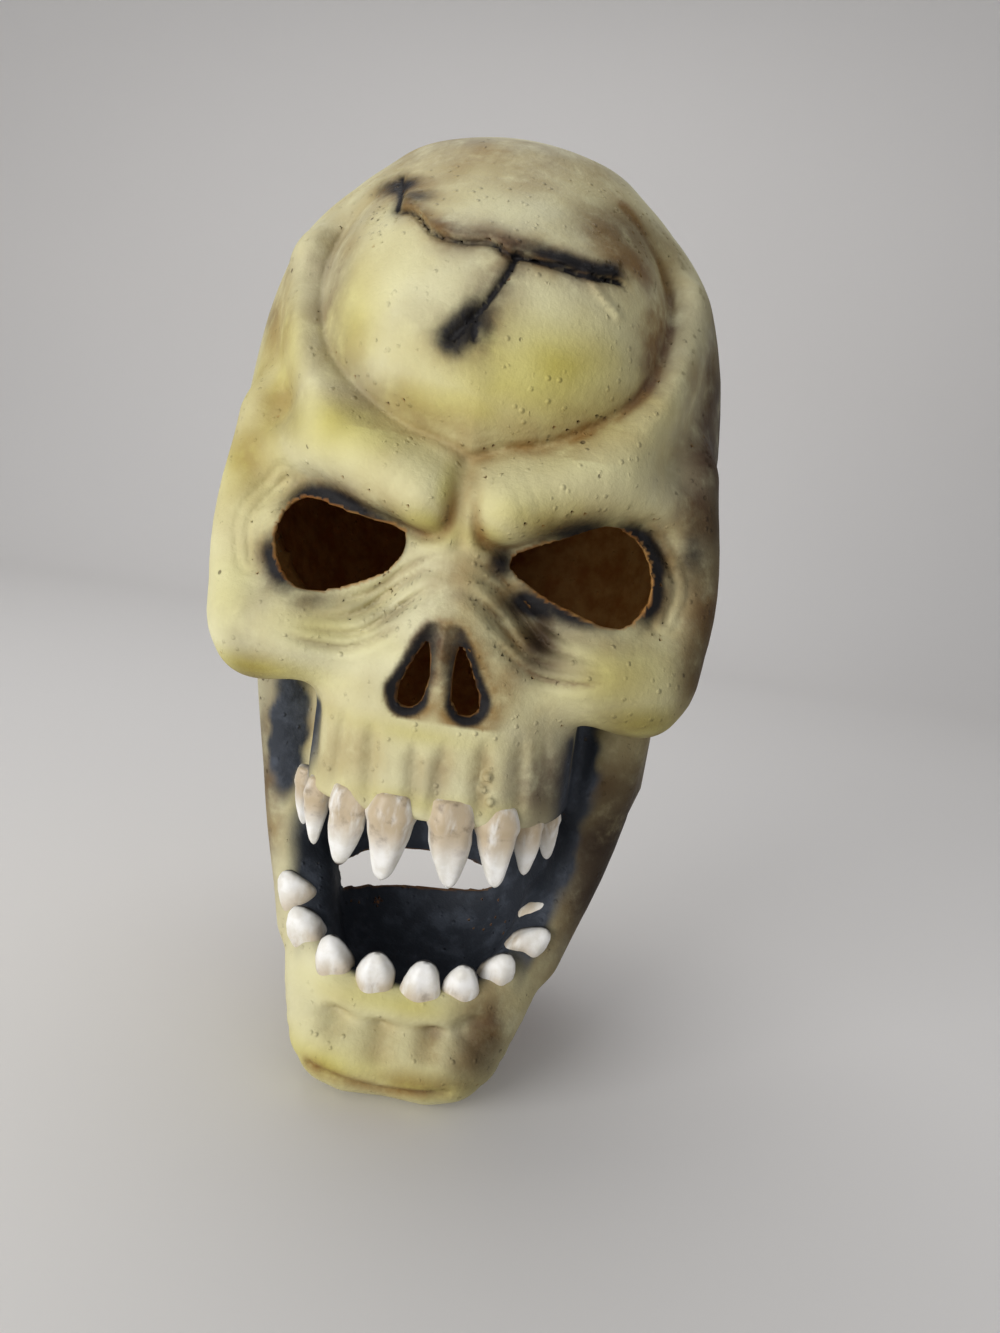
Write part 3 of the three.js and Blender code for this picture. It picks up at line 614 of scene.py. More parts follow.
def openings(x, y, z):
    """Distance to the space taken out by the eye holes, nostrils, throat slot and neck, below zero in it."""
    cut = np.full(x.shape, 1e3, np.float32)
    ranges = (
        (LEFT_EYE, x, -0.1, 0.35),
        (RIGHT_EYE, x, -0.1, 0.35),
        (NOSTRIL, np.abs(x), -0.1, 0.3),
        (THROAT_SLOT, x, 0.3, 0.5),
    )
    for rows, u, near, far in ranges:
        low, high = down(rows["down"].max()) - 8, down(rows["down"].min()) + 8
        at = (z > low) & (z < high) & (y < back(far) + 4) & (y > back(near))
        at &= (u > across(rows["across"].min()) - 8) & (u < across(rows["across"].max()) + 8)
        inside = np.maximum(hole(rows, u[at], z[at]), np.maximum(back(near) - y[at], y[at] - back(far)))
        cut[at] = np.minimum(cut[at], inside)
    edge_down = np.interp(y, back(NECK_EDGE["back"]), NECK_EDGE["down"])
    below = np.where(y > back(NECK_EDGE["back"][0]), 0.8 * (z - down(edge_down)), 1e3)
    return np.minimum(cut, below)


def slope_of(x, y, z, f):
    """The steepest slope of the skin's distance, from one step along each axis, as a vector."""
    step = 0.5
    return np.stack([skin(x + step, y, z) - f, skin(x, y + step, z) - f, skin(x, y, z + step) - f], 1) / step


def hollow(x, y, z, f, slope):
    """Distance to the hollow inside the latex: one wall behind the skin, less the solid gum edges."""
    deeper = f / slope + mask.wall
    side = np.abs(x - turn(y, z))
    for gum in (UPPER_GUM, LOWER_GUM):
        fill = dict(gum, thick=np.full_like(gum["thick"], GUM_FILL / mask.half_width))
        deeper = carve(deeper, chain(fill, side, y, z), 3)
    return deeper


def shell_net(step):
    """Corners and four-sided faces of the shell's surface. The distance is worked out on a grid, and only
    in blocks near the skin. Each cell that the surface crosses gets one corner, at the mean of the
    places where its edges change sign, and each crossed grid edge gets one face of its four cells."""
    block = 4
    low = np.array([-1.15 * mask.half_width, back(0), down(1.0)]) - 4 * step
    high = np.array([1.15 * mask.half_width, back(1), mask.wall]) + 4 * step
    blocks = np.ceil((high - low) / step / block).astype(int)
    middles = np.stack(np.meshgrid(*[np.arange(n) for n in blocks], indexing="ij"), -1).reshape(-1, 3)
    places = (low + (middles * block + block / 2) * step).astype(np.float32)
    f = skin(*places.T.copy())
    near = (np.abs(f + mask.wall / 2) < mask.wall / 2 + block * step * 1.3).reshape(blocks)
    known = near.repeat(block, 0).repeat(block, 1).repeat(block, 2)
    field = np.full(known.shape, np.nan, np.float32)
    index = np.flatnonzero(known)
    for part in np.array_split(index, max(1, len(index) // 300000)):
        i = np.stack(np.unravel_index(part, known.shape))
        p = (low[:, None] + step * i).astype(np.float32)
        field.ravel()[part] = skin(*p)
    slope = np.sqrt(sum(g * g for g in np.gradient(field, step)))
    slope = np.clip(np.nan_to_num(slope, nan=1.0), 0.4, 2.0)
    solid = np.full(known.shape, 10, np.float32)
    for part in np.array_split(index, max(1, len(index) // 300000)):
        i = np.stack(np.unravel_index(part, known.shape))
        p = (low[:, None] + step * i).astype(np.float32)
        f, s = field.ravel()[part], slope.ravel()[part]
        g = np.maximum(f, -hollow(*p, f, s))
        solid.ravel()[part] = common(g, -openings(*p), 0.8)
    return net(solid, known, low, step)


def net(solid, known, low, step):
    """The surface net of a grid of distances."""
    inner = solid < 0
    shape = tuple(n - 1 for n in solid.shape)
    corners = [(i, j, k) for i in (0, 1) for j in (0, 1) for k in (0, 1)]
    cut = [tuple(slice(c, c + n) for c, n in zip(corner, shape)) for corner in corners]
    total = sum(inner[c].astype(np.int8) for c in cut)
    mixed = (total > 0) & (total < 8)
    cells = np.flatnonzero(mixed)
    number = np.full(shape, -1, np.int32)
    number.ravel()[cells] = np.arange(len(cells))
    at = np.stack(np.unravel_index(cells, shape), 1)
    value = {c: solid[tuple((at + c).T)] for c in corners}
    points = np.zeros((len(cells), 3))
    count = np.zeros(len(cells))
    for axis in range(3):
        for corner in corners:
            if corner[axis]:
                continue
            other = tuple(c + (a == axis) for a, c in enumerate(corner))
            v0, v1 = value[corner], value[other]
            crossed = (v0 < 0) != (v1 < 0)
            t = np.where(crossed, v0 / np.where(crossed, v0 - v1, 1), 0)
            place = np.array(corner) + t[:, None] * (np.arange(3) == axis)
            points += crossed[:, None] * place
            count += crossed
    points = low + step * (at + points / count[:, None])
    faces = []
    for axis in range(3):
        b, c = (axis + 1) % 3, (axis + 2) % 3
        ends = np.diff(inner.astype(np.int8), axis=axis)
        crossed = np.stack(np.nonzero(ends), 1)
        inside = (crossed[:, b] > 0) & (crossed[:, c] > 0)
        inside &= (crossed[:, b] < shape[b]) & (crossed[:, c] < shape[c])
        crossed = crossed[inside]
        outwards = ends[tuple(crossed.T)] < 0
        ring = []
        for db, dc in ((-1, -1), (0, -1), (0, 0), (-1, 0)):
            cell = crossed.copy()
            cell[:, b] += db
            cell[:, c] += dc
            ring.append(number[tuple(cell.T)])
        ring = np.stack(ring, 1)
        ring[~outwards] = ring[~outwards][:, ::-1]
        faces.append(ring)
    return points, np.concatenate(faces)


def new_object(name, points, faces):
    """A mesh object from arrays of corners and of faces with three or four corners each."""
    mesh = bpy.data.meshes.new(name)
    sides = faces.shape[1]
    mesh.vertices.add(len(points))
    mesh.vertices.foreach_set("co", np.ascontiguousarray(points, np.float32).ravel())
    mesh.loops.add(faces.size)
    mesh.loops.foreach_set("vertex_index", np.ascontiguousarray(faces, np.int32).ravel())
    mesh.polygons.add(len(faces))
    mesh.polygons.foreach_set("loop_start", np.arange(0, faces.size, sides, dtype=np.int32))
    mesh.update(calc_edges=True)
    mesh.validate()
    mesh.shade_smooth()
    obj = bpy.data.objects.new(name, mesh)
    bpy.context.scene.collection.objects.link(obj)
    return obj


def corners_of(mesh):
    points = np.empty(3 * len(mesh.vertices), np.float32)
    mesh.vertices.foreach_get("co", points)
    return points.reshape(-1, 3)


def place_corners(mesh, points):
    mesh.vertices.foreach_set("co", np.ascontiguousarray(points, np.float32).ravel())
    mesh.update()


def normals_of(mesh):
    normals = np.empty(3 * len(mesh.vertices), np.float32)
    mesh.vertices.foreach_get("normal", normals)
    return normals.reshape(-1, 3)


def settle(points, facing):
    """Moves corners of the net onto the skin or onto the lining, by the way that they face, but not those
    of the cut edges. Gives the places, the slope of the skin there, and which corners are lined and
    which are clear of the cuts."""
    for _ in range(2):
        x, y, z = points.T.astype(np.float32)
        f = skin(x, y, z)
        slope = slope_of(x, y, z, f)
        steep = np.clip(np.linalg.norm(slope, axis=1), 0.4, 2.0)
        hollowed = hollow(x, y, z, f, steep)
        turned = (facing * slope).sum(1) / steep
        lined = np.where(np.abs(turned) > 0.4, turned < 0, np.abs(hollowed) < np.abs(f)) & (f / steep < -1.2)
        plain = np.abs(hollowed - (f / steep + mask.wall)) < 0.01
        miss = np.where(lined, hollowed, f / steep)
        clear = openings(x, y, z) > 0.9
        moves = clear & (np.abs(miss) < 1.0) & (plain | ~lined)
        points = points - np.where(moves, miss, 0)[:, None] * slope / steep[:, None]
    return points, slope / steep[:, None], lined, clear


def attribute(mesh, name, values):
    layer = mesh.attributes.new(name, "FLOAT", "POINT")
    layer.data.foreach_set("value", np.ascontiguousarray(values, np.float32))


def uneven(x, y, z, size):
    """A soft irregular value from -1 to 1: three crossed waves whose phases sway with each other."""
    u, v, w = x / size, y / size, z / size
    a = np.sin(2.1 * u + 1.3 * np.sin(1.7 * v + 0.4) + 0.5)
    b = np.sin(1.9 * v + 1.1 * np.sin(2.3 * w + 1.9) + 2.1)
    c = np.sin(2.2 * w + 1.2 * np.sin(1.6 * u + 3.1) + 4.2)
    return (a + b + c) / 3


# Where the airbrush lay heaviest, and, in SHADE_PATCHES, where painted shade lies: places and radii in front
# view, and how much paint
PATCH = "across down wide tall much"
# Brown paint; the patches right of the nose, on the right of the dome, the right side, the maxilla, the chin
# and the jaw on the right are partly painted shade of the side turned from the key lamp
BROWN_PATCHES = table(PATCH, [
    [-0.1, 0.06, 0.6, 0.04, 0.75],
    [0.44, 0.135, 0.22, 0.05, 1.0],
    [0.6, 0.21, 0.1, 0.06, 1.0],
    [-0.62, 0.19, 0.12, 0.09, 0.6],
    [-0.5, 0.3, 0.12, 0.03, 0.35],
    [0.03, 0.46, 0.15, 0.04, 0.6],
    [-0.5, 0.497, 0.3, 0.012, 0.2],
    [0.52, 0.49, 0.26, 0.014, 0.5],
    [0.42, 0.52, 0.14, 0.02, 0.7],
    [0.31, 0.49, 0.12, 0.045, 1.0],
    [0.24, 0.54, 0.08, 0.03, 0.8],
    [0.45, 0.64, 0.17, 0.06, 0.85],
    [-0.57, 0.65, 0.09, 0.07, 0.6],
    [-0.33, 0.64, 0.15, 0.05, 0.45],
    [0.35, 0.9, 0.13, 0.05, 1.0],
    [0.18, 0.96, 0.2, 0.016, 0.7],
    [0.74, 0.74, 0.26, 0.18, 1.0],
    [-0.7, 0.72, 0.13, 0.18, 0.8],
    [-0.86, 0.36, 0.12, 0.06, 0.45],
    [-0.86, 0.23, 0.14, 0.07, 0.7],
    [-0.74, 0.32, 0.16, 0.04, 0.5],
    [-0.6, 0.39, 0.2, 0.015, 0.4],
    [0.0, 0.36, 0.05, 0.03, 0.5],
    [0.9, 0.3, 0.2, 0.16, 0.95],
    [0.97, 0.47, 0.15, 0.12, 1.0],
])
YELLOW_PATCHES = table(PATCH, [
    [-0.12, 0.408, 0.16, 0.016, 1.0],
    [-0.06, 0.37, 0.04, 0.03, 0.8],
    [0.09, 0.408, 0.12, 0.014, 0.8],
    [0.34, 0.385, 0.26, 0.022, 1.0],
    [-0.5, 0.33, 0.36, 0.03, 0.9],
    [-0.88, 0.37, 0.12, 0.05, 1.0],
    [-0.84, 0.5, 0.12, 0.04, 0.5],
    [-0.74, 0.57, 0.28, 0.016, 1.0],
    [-0.45, 0.52, 0.24, 0.02, 0.5],
    [0.64, 0.525, 0.27, 0.04, 0.7],
    [0.76, 0.565, 0.2, 0.03, 1.0],
    [0.22, 0.268, 0.4, 0.055, 0.95],
    [-0.08, 0.3, 0.34, 0.022, 0.8],
    [-0.5, 0.24, 0.12, 0.06, 0.7],
    [-0.82, 0.3, 0.16, 0.08, 1.0],
    [-0.22, 0.96, 0.3, 0.022, 1.0],
    [0.16, 0.965, 0.2, 0.02, 1.0],
    [0.0, 0.885, 0.34, 0.014, 0.7],
    [-0.12, 0.603, 0.28, 0.01, 0.6],
    [0.0, 0.67, 0.4, 0.012, 0.5],
])
SOOT_PATCHES = table(PATCH, [
    [-0.42, 0.1, 0.1, 0.014, 0.9],
    [-0.33, 0.115, 0.08, 0.01, 0.7],
    [-0.015, 0.23, 0.045, 0.022, 0.7],
    [0.29, 0.468, 0.11, 0.016, 1.1],
    [0.69, 0.41, 0.08, 0.022, 1.1],
    [0.86, 0.4, 0.06, 0.035, 0.6],
])
RIM_PATCHES = table(PATCH, [
    [-0.45, 0.385, 0.32, 0.04, 1.2],
    [-0.74, 0.475, 0.16, 0.035, 1.15],
    [-0.5, 0.5, 0.16, 0.016, 0.6],
    [0.36, 0.385, 0.2, 0.03, 0.9],
    [0.72, 0.405, 0.18, 0.05, 1.3],
    [0.78, 0.455, 0.1, 0.05, 1.3],
    [0.36, 0.475, 0.26, 0.02, 0.9],
    [0.12, 0.435, 0.08, 0.03, 1.1],
])
RECESS_PATCHES = table(PATCH, [
    [-0.66, 0.655, 0.09, 0.075, 1.3],
    [0.55, 0.65, 0.1, 0.07, 1.3],
    [0.53, 0.735, 0.08, 0.05, 1.3],
])
# Painted shade, mixed with dark brown paint: right of the nose, the right side and dome, the jaws, the chin
# and the maxilla
SHADE_PATCHES = table(PATCH, [
    [0.33, 0.5, 0.08, 0.035, 0.9],
    [1.0, 0.34, 0.18, 0.14, 0.85],
    [0.98, 0.5, 0.13, 0.09, 0.75],
    [0.46, 0.115, 0.2, 0.03, 0.5],
    [0.36, 0.925, 0.11, 0.045, 0.7],
    [0.74, 0.74, 0.24, 0.17, 1.0],
    [-0.78, 0.72, 0.1, 0.16, 0.45],
    [0.5, 0.65, 0.09, 0.05, 0.65],
])


def patches(rows, across_share, down_share):
    """The strongest of a table's soft round patches at each place."""
    best = np.zeros_like(across_share)
    for u, v, wide, tall, much in zip(*rows.values()):
        reach = np.hypot((across_share - u) / wide, (down_share - v) / tall)
        best = np.maximum(best, much * np.exp(-(reach**2)))
    return best


def inside_arch(gum, side, y):
    """Distance in plan from the curve of a gum, above zero on the tongue's side of it."""
    path = smooth(gum)
    xs, ys = across(path["across"]), back(path["back"])
    best = np.full(side.shape, 1e3, np.float32)
    for x0, y0, dx, dy in zip(xs[:-1], ys[:-1], np.diff(xs), np.diff(ys)):
        t = np.clip(((side - x0) * dx + (y - y0) * dy) / (dx * dx + dy * dy), 0, 1)
        best = np.minimum(best, np.hypot(side - x0 - t * dx, y - y0 - t * dy))
    inner = (y > np.interp(side, xs, ys)) & (side < xs[-1])
    return np.where(inner, best, -best)


def paint_masks(points, facing, lined, clear):
    """How much of each paint lies at each corner: latex left bare inside, black in the mouth, black and
    brown airbrush in the hollows, yellow-green on what stands proud, and painted shade in dark brown on
    the right side, which is turned from the key lamp."""
    x, y, z = points.T.astype(np.float32)
    level = x - turn(y, z)
    side = np.sqrt(level * level + 1)
    share = (mask.wall - z) / mask.height
    deep = y / mask.depth + CROWN_BACK
    u = level / mask.half_width
    sway = np.clip(u / 0.16, -1, 1)
    shut = pocket(side, y, z)
    wave = uneven(x, y, z, 9)
    ripple = uneven(z, x, y, 4)

    upper, lower = inside_arch(UPPER_GUM, side, y), inside_arch(LOWER_GUM, side, y)
    within = rise(-shut, -9, -4)
    mouth = rise(lower, -3.5, 1) * within * rise(share, 0.74, 0.78)
    mouth = np.maximum(mouth, rise(upper, -1, 3) * rise(share, 0.684, 0.69) * within * (share < 0.8))
    reach = rise(y, back(0.125), back(0.18)) * rise(-shut, -8 + wave, -3 + wave)
    mouth = np.maximum(mouth, reach * rise(share, 0.59, 0.605) * (share < 0.9))
    recess = patches(RECESS_PATCHES, u + 0.02 * ripple, share + 0.004 * wave)
    behind = rise(y, back(0.19), back(0.22)) * rise(-y, -back(0.32), -back(0.29))
    mouth = np.maximum(mouth, rise(recess, 0.35, 0.75) * behind)

    front = rise(-y, -back(0.34), -back(0.24))
    blown = patches(SOOT_PATCHES, u, share)
    soot = front * blown * (0.85 + 0.15 * ripple)
    rim = patches(RIM_PATCHES, u, share)
    for rows in (LEFT_EYE, RIGHT_EYE):
        reach = np.maximum(hole(rows, x, z), 0)
        soot = np.maximum(soot, front * rim * hump(reach, 6.5 + 1.2 * wave))
        soot = np.maximum(soot, 0.45 * front * hump(reach, 1.6 + 0.4 * wave))
    nose = chain(NOSE_HOLLOW, side, y, z)
    lower_nose = rise(share, 0.49, 0.56)
    soot = np.maximum(soot, (0.7 + 0.3 * lower_nose) * rise(-nose, -2.6, 0.4) * (share < 0.6) * front)
    septum = hump(level, 4) * rise(-nose, -3, 0) * rise(-share, -0.57, -0.55)
    above, ends = torn(level, z)
    soot = np.maximum(soot * (1 - 0.55 * septum), (0.8 + 0.15 * sway) * front * ends * hump(above + 1.2, 1.1))
    growing = 0.28 + 0.55 * rise(u, -0.08, 0.25) * rise(-u, -0.52, -0.36)
    cloud = growing * rise(above, -1.5, 1) * hump(np.maximum(above - 1, 0), 5 + 1.2 * wave)
    reach, along = traced(CRACK_STEM, level, z)
    soot = np.maximum(soot, 0.72 * front * rise(along, 0.1, 0.8) * hump(reach - 2, 5 + wave))
    soot = np.maximum(soot, front * ends * cloud)
    for rows, core in ((CRACK_START, 1.4), (CRACK_STEM, 1.6), (CRACK_FORK, 1.4)):
        reach = line(rows, level, z)
        soot = np.maximum(soot, front * np.maximum(0.9 * hump(reach, core), 0.4 * hump(reach, 3.2 * core)))

    groove = line(DOME_GROOVE, side, z)
    wash = (0.75 + 0.2 * sway) * front * hump(groove, 4) * (share < 0.36)
    wash = np.maximum(wash, 0.5 * front * hump(groove, 12) * (share < 0.33))
    wash = np.maximum(wash, patches(BROWN_PATCHES, u, share) * (0.9 + 0.1 * wave))
    wider = {**SOOT_PATCHES, "wide": 1.7 * SOOT_PATCHES["wide"], "tall": 1.7 * SOOT_PATCHES["tall"]}
    wash = np.maximum(wash, front * patches(wider, u, share))
    for rows in (LEFT_EYE, RIGHT_EYE):
        wash = np.maximum(wash, front * rim * hump(np.maximum(hole(rows, x, z), 0), 9))
    wash = np.maximum(wash, 0.9 * front * ends * hump(above - 1, 7))
    wash = np.maximum(wash, 0.65 * front * hump(line(CRACK_STEM, level, z), 10))
    for rows in ROOT_LINES:
        wash = np.maximum(wash, (0.4 + 0.15 * sway) * front * furrow(rows, level, z, 5))
    for rows in CHIN_LINES:
        wash = np.maximum(wash, (0.45 + 0.2 * sway) * front * furrow(rows, level, z, 7))
    wash = np.maximum(wash, 0.85 * front * hump(line(CHIN_CREASE, level, z), 4))
    for rows in WRINKLES:
        wash = np.maximum(wash, (0.6 + 0.2 * sway) * front * furrow(rows, side, z, 1.5))
    wash = np.maximum(wash, 0.35 * front * hump(line(BROW_PARTING, level, z), 2.5))
    for rows in BROW_EDGES:
        wash = np.maximum(wash, 0.9 * front * furrow(rows, level, z, 3.2))
    wash = np.maximum(wash, 0.45 * rise(deep, 0.3, 0.5) * (0.8 + 0.2 * wave))
    # Brown paint round the nose hollow, reaching further on the right as painted shade on the nose's shaded
    # side
    wash = np.maximum(wash, 0.9 * rise(-nose, -7 - 5 * sway, -0.5) * (share < 0.59) * front)
    wash = wash + 0.11 + 0.12 * wave

    # Painted shade: the right side above the cheekbones, turned from the key lamp, and the SHADE_PATCHES are
    # darkened with dark brown
    shade = 0.9 * rise(u, 0.7, 0.95) * (0.85 + 0.15 * wave) * rise(-share, -0.5, -0.4)
    shade = np.maximum(shade, 1.15 * patches(SHADE_PATCHES, u, share) * (0.92 + 0.08 * wave))

    glow = patches(YELLOW_PATCHES, u, share) * rise(-y, -back(0.45), -back(0.3)) * (0.8 + 0.2 * wave)
    return {
        "lining": lined * ~((share < 0.3) & (y < back(0.35)) & (facing > -0.7)),
        "mouth": np.clip(mouth, 0, 1),
        "soot": np.clip(soot, 0, 1),
        "wash": np.clip(wash, 0, 1),
        "shade": np.clip(shade, 0, 1),
        "glow": np.clip(glow, 0, 1),
        "edge": 0.75 * ~clear * rise(-np.abs(facing), -0.9, -0.5),
    }


def linear(code):
    """An sRGB hex colour as linear red, green, blue and alpha."""
    parts = [int(code[i:i + 2], 16) / 255 for i in (1, 3, 5)]
    return [c / 12.92 if c <= 0.04045 else ((c + 0.055) / 1.055) ** 2.4 for c in parts] + [1.0]


SOFTLY = {"interpolation_type": "SMOOTHSTEP"}
COLOURS = {"gives": 2, "data_type": "RGBA"}
PRODUCT = {"operation": "MULTIPLY"}
PRODUCT_AND_SUM = {"operation": "MULTIPLY_ADD"}


def add(tree, kind, sockets=None, gives=0, **settings):
    """Adds a node, with its settings, and for each input either a value or a link from an output. Gives
    the output that the next node reads."""
    node = tree.nodes.new(kind)
    for name, value in settings.items():
        setattr(node, name, value)
    for key, value in (sockets or {}).items():
        if isinstance(value, bpy.types.NodeSocket):
            tree.links.new(value, node.inputs[key])
        else:
            node.inputs[key].default_value = value
    return node.outputs[gives] if node.outputs else None


def new_material(name):
    """An empty material with its shader and output. Gives the material, its tree and the shader."""
    material = bpy.data.materials.new(name)
    material.use_nodes = True
    tree = material.node_tree
    tree.nodes.clear()
    surface = add(tree, "ShaderNodeBsdfPrincipled")
    add(tree, "ShaderNodeOutputMaterial", {"Surface": surface})
    return material, tree, surface.node


def painted_latex(paints):
    """Matt acrylic airbrushed on slip cast latex, worked in layers: a bone ground, yellow-green mist on
    what stands proud, brown wash in the hollows, painted shade in dark brown on the side turned from the
    key lamp, black last, with a painted sheen on the black in the mouth. The paint lies thin, so the fine
    pores of the cast show through it, and the latex left bare inside is amber."""
    material, tree, shader = new_material("airbrushed_latex")
    place = add(tree, "ShaderNodeTexCoord", gives="Object")
    clouds = []
    for size, detail, rough in ((30, 4, 0.55), (6, 5, 0.6), (1.4, 3, 0.55), (1.1, 3, 0.55)):
        sockets = {"Vector": place, "Scale": 0.5 / (size * MM), "Detail": detail, "Roughness": rough}
        clouds.append(add(tree, "ShaderNodeTexNoise", sockets))
    cloudy, mottled, fine, pored = clouds
    areas = []
    for name in ("glow", "wash", "shade", "soot", "mouth", "lining", "edge"):
        settings = {"attribute_name": name, "attribute_type": "GEOMETRY"}
        areas.append(add(tree, "ShaderNodeAttribute", gives="Fac", **settings))
    glow, wash, shade, soot, mouth, lining, edge = areas

    share = add(tree, "ShaderNodeMapRange", {0: cloudy, 1: 0.35, 2: 0.68}, **SOFTLY)
    colour = add(tree, "ShaderNodeMix", {0: share, 6: paints.bone, 7: paints.pale_bone}, **COLOURS)
    share = add(tree, "ShaderNodeMapRange", {0: cloudy, 1: 0.4, 2: 0.6}, **SOFTLY)
    brown = add(tree, "ShaderNodeMix", {0: share, 6: paints.warm_wash, 7: paints.dull_wash}, **COLOURS)
    layers = (
        (glow, cloudy, 0.15, 0.55, 0.95, paints.mist),
        (wash, mottled, 0.05, 0.6, 1.0, brown),
        # Painted shade in dark brown, from the shade mask, on the side turned from the key lamp
        (shade, mottled, -0.2, 0.5, 1.0, paints.dark_wash_and_shade),
    )
    for area, cloud, low, high, most, paint in layers:
        patchy = add(tree, "ShaderNodeMapRange", {0: cloud, 1: low, 2: high, 4: most}, **SOFTLY)
        share = add(tree, "ShaderNodeMath", {0: area, 1: patchy}, **PRODUCT)
        colour = add(tree, "ShaderNodeMix", {0: share, 6: colour, 7: paint}, **COLOURS)
    grainy = add(tree, "ShaderNodeMath", {0: fine, 1: 0.25, 2: soot}, **PRODUCT_AND_SUM)
    share = add(tree, "ShaderNodeMapRange", {0: grainy, 1: 0.16, 2: 0.9}, **SOFTLY)
    colour = add(tree, "ShaderNodeMix", {0: share, 6: colour, 7: paints.soot}, **COLOURS)
    # Painted sheen: the mouth's black is a lighter grey, mottled lighter still, standing in for the gloss on
    # the black paint
    share = add(tree, "ShaderNodeMapRange", {0: mottled, 1: 0.45, 2: 0.7}, **SOFTLY)
    mouth_black_and_sheen = add(tree, "ShaderNodeMix", {0: share, 6: paints.mouth, 7: paints.mouth_sheen}, **COLOURS)
    colour = add(tree, "ShaderNodeMix", {0: mouth, 6: colour, 7: mouth_black_and_sheen}, **COLOURS)

    # Pits left by air in the cast, one in a cell of 11 mm, and pimples, one in a cell of 4 mm
    pits = add(tree, "ShaderNodeTexVoronoi", {"Vector": place, "Scale": 90.0})
    pits = add(tree, "ShaderNodeMapRange", {0: pits, 1: 0.05, 2: 0.1, 3: 1.0, 4: 0.0}, **SOFTLY)
    share = add(tree, "ShaderNodeMapRange", {0: mottled, 1: 0.5, 2: 0.56}, **SOFTLY)
    pits = add(tree, "ShaderNodeMath", {0: pits, 1: share}, **PRODUCT)
    share = add(tree, "ShaderNodeMath", {0: pits, 1: 0.7}, **PRODUCT)
    colour = add(tree, "ShaderNodeMix", {0: share, 6: colour, 7: paints.pits}, **COLOURS)
    pimples = add(tree, "ShaderNodeTexVoronoi", {"Vector": place, "Scale": 240.0})
    pimples = add(tree, "ShaderNodeMapRange", {0: pimples, 1: 0.05, 2: 0.3, 3: 1.0, 4: 0.0}, **SOFTLY)
    share = add(tree, "ShaderNodeMapRange", {0: mottled, 1: 0.5, 2: 0.58}, **SOFTLY)
    pimples = add(tree, "ShaderNodeMath", {0: pimples, 1: share}, **PRODUCT)

    share = add(tree, "ShaderNodeMapRange", {0: mottled, 1: 0.3, 2: 0.7}, **SOFTLY)
    amber = add(tree, "ShaderNodeMix", {0: share, 6: paints.latex, 7: paints.pale_latex}, **COLOURS)
    bare = add(tree, "ShaderNodeMath", {0: lining, 1: edge}, operation="MAXIMUM")
    colour = add(tree, "ShaderNodeMix", {0: bare, 6: colour, 7: amber}, **COLOURS)
    tree.links.new(colour, shader.inputs["Base Color"])
    rough = add(tree, "ShaderNodeMath", {0: mottled, 1: 0.2, 2: 0.52}, **PRODUCT_AND_SUM)
    tree.links.new(rough, shader.inputs["Roughness"])
    shader.inputs["IOR"].default_value = 1.46
    shader.inputs["Specular IOR Level"].default_value = 0.2
    height = pimples
    for relief_part, much in ((pored, 0.6), (mottled, 0.9), (pits, -0.9)):
        height = add(tree, "ShaderNodeMath", {0: relief_part, 1: much, 2: height}, **PRODUCT_AND_SUM)
    bump = add(tree, "ShaderNodeBump", {"Strength": 0.8, "Distance": 0.7 * MM, "Height": height})
    tree.links.new(bump, shader.inputs["Normal"])
    return material


def tooth_paint(paints):
    """Satin off-white acrylic on cast latex: brushed whiter at the tip, and stained ochre and brown where
    the wash has run down from the gum."""
    material, tree, shader = new_material("stained_tooth_paint")
    place = add(tree, "ShaderNodeTexCoord", gives="Object")
    streaks = add(tree, "ShaderNodeMapping", {"Vector": place, "Scale": (1.0, 1.0, 0.25)})
    clouds = []
    for size, coords in ((2.5, streaks), (3, place)):
        sockets = {"Vector": coords, "Scale": 0.5 / (size * MM), "Detail": 4, "Roughness": 0.55}
        clouds.append(add(tree, "ShaderNodeTexNoise", sockets))
    streaky, mottled = clouds
    areas = []
    for name in ("stain", "broken", "inner"):
        settings = {"attribute_name": name, "attribute_type": "GEOMETRY"}
        areas.append(add(tree, "ShaderNodeAttribute", gives="Fac", **settings))
    share = add(tree, "ShaderNodeMapRange", {0: mottled, 1: 0.35, 2: 0.65}, **SOFTLY)
    colour = add(tree, "ShaderNodeMix", {0: share, 6: paints.tooth, 7: paints.white_tooth}, **COLOURS)
    stain = areas[0]
    layers = ((streaky, 0.25, 0.55, 0.8, paints.stain), (mottled, 0.5, 0.75, 0.7, paints.dark_stain))
    for cloud, low, high, most, paint in layers:
        patchy = add(tree, "ShaderNodeMapRange", {0: cloud, 1: low, 2: high}, **SOFTLY)
        stain = add(tree, "ShaderNodeMath", {0: stain, 1: patchy}, **PRODUCT)
        share = add(tree, "ShaderNodeMath", {0: stain, 1: most}, **PRODUCT)
        colour = add(tree, "ShaderNodeMix", {0: share, 6: colour, 7: paint}, **COLOURS)
    for area, paint in zip(areas[1:], (paints.broken_tooth, paints.inner_tooth)):
        colour = add(tree, "ShaderNodeMix", {0: area, 6: colour, 7: paint}, **COLOURS)
    tree.links.new(colour, shader.inputs["Base Color"])
    shader.inputs["Roughness"].default_value = 0.42
    shader.inputs["IOR"].default_value = 1.48
    bump = add(tree, "ShaderNodeBump", {"Strength": 0.35, "Distance": 0.4 * MM, "Height": streaky})
    tree.links.new(bump, shader.inputs["Normal"])
    return material


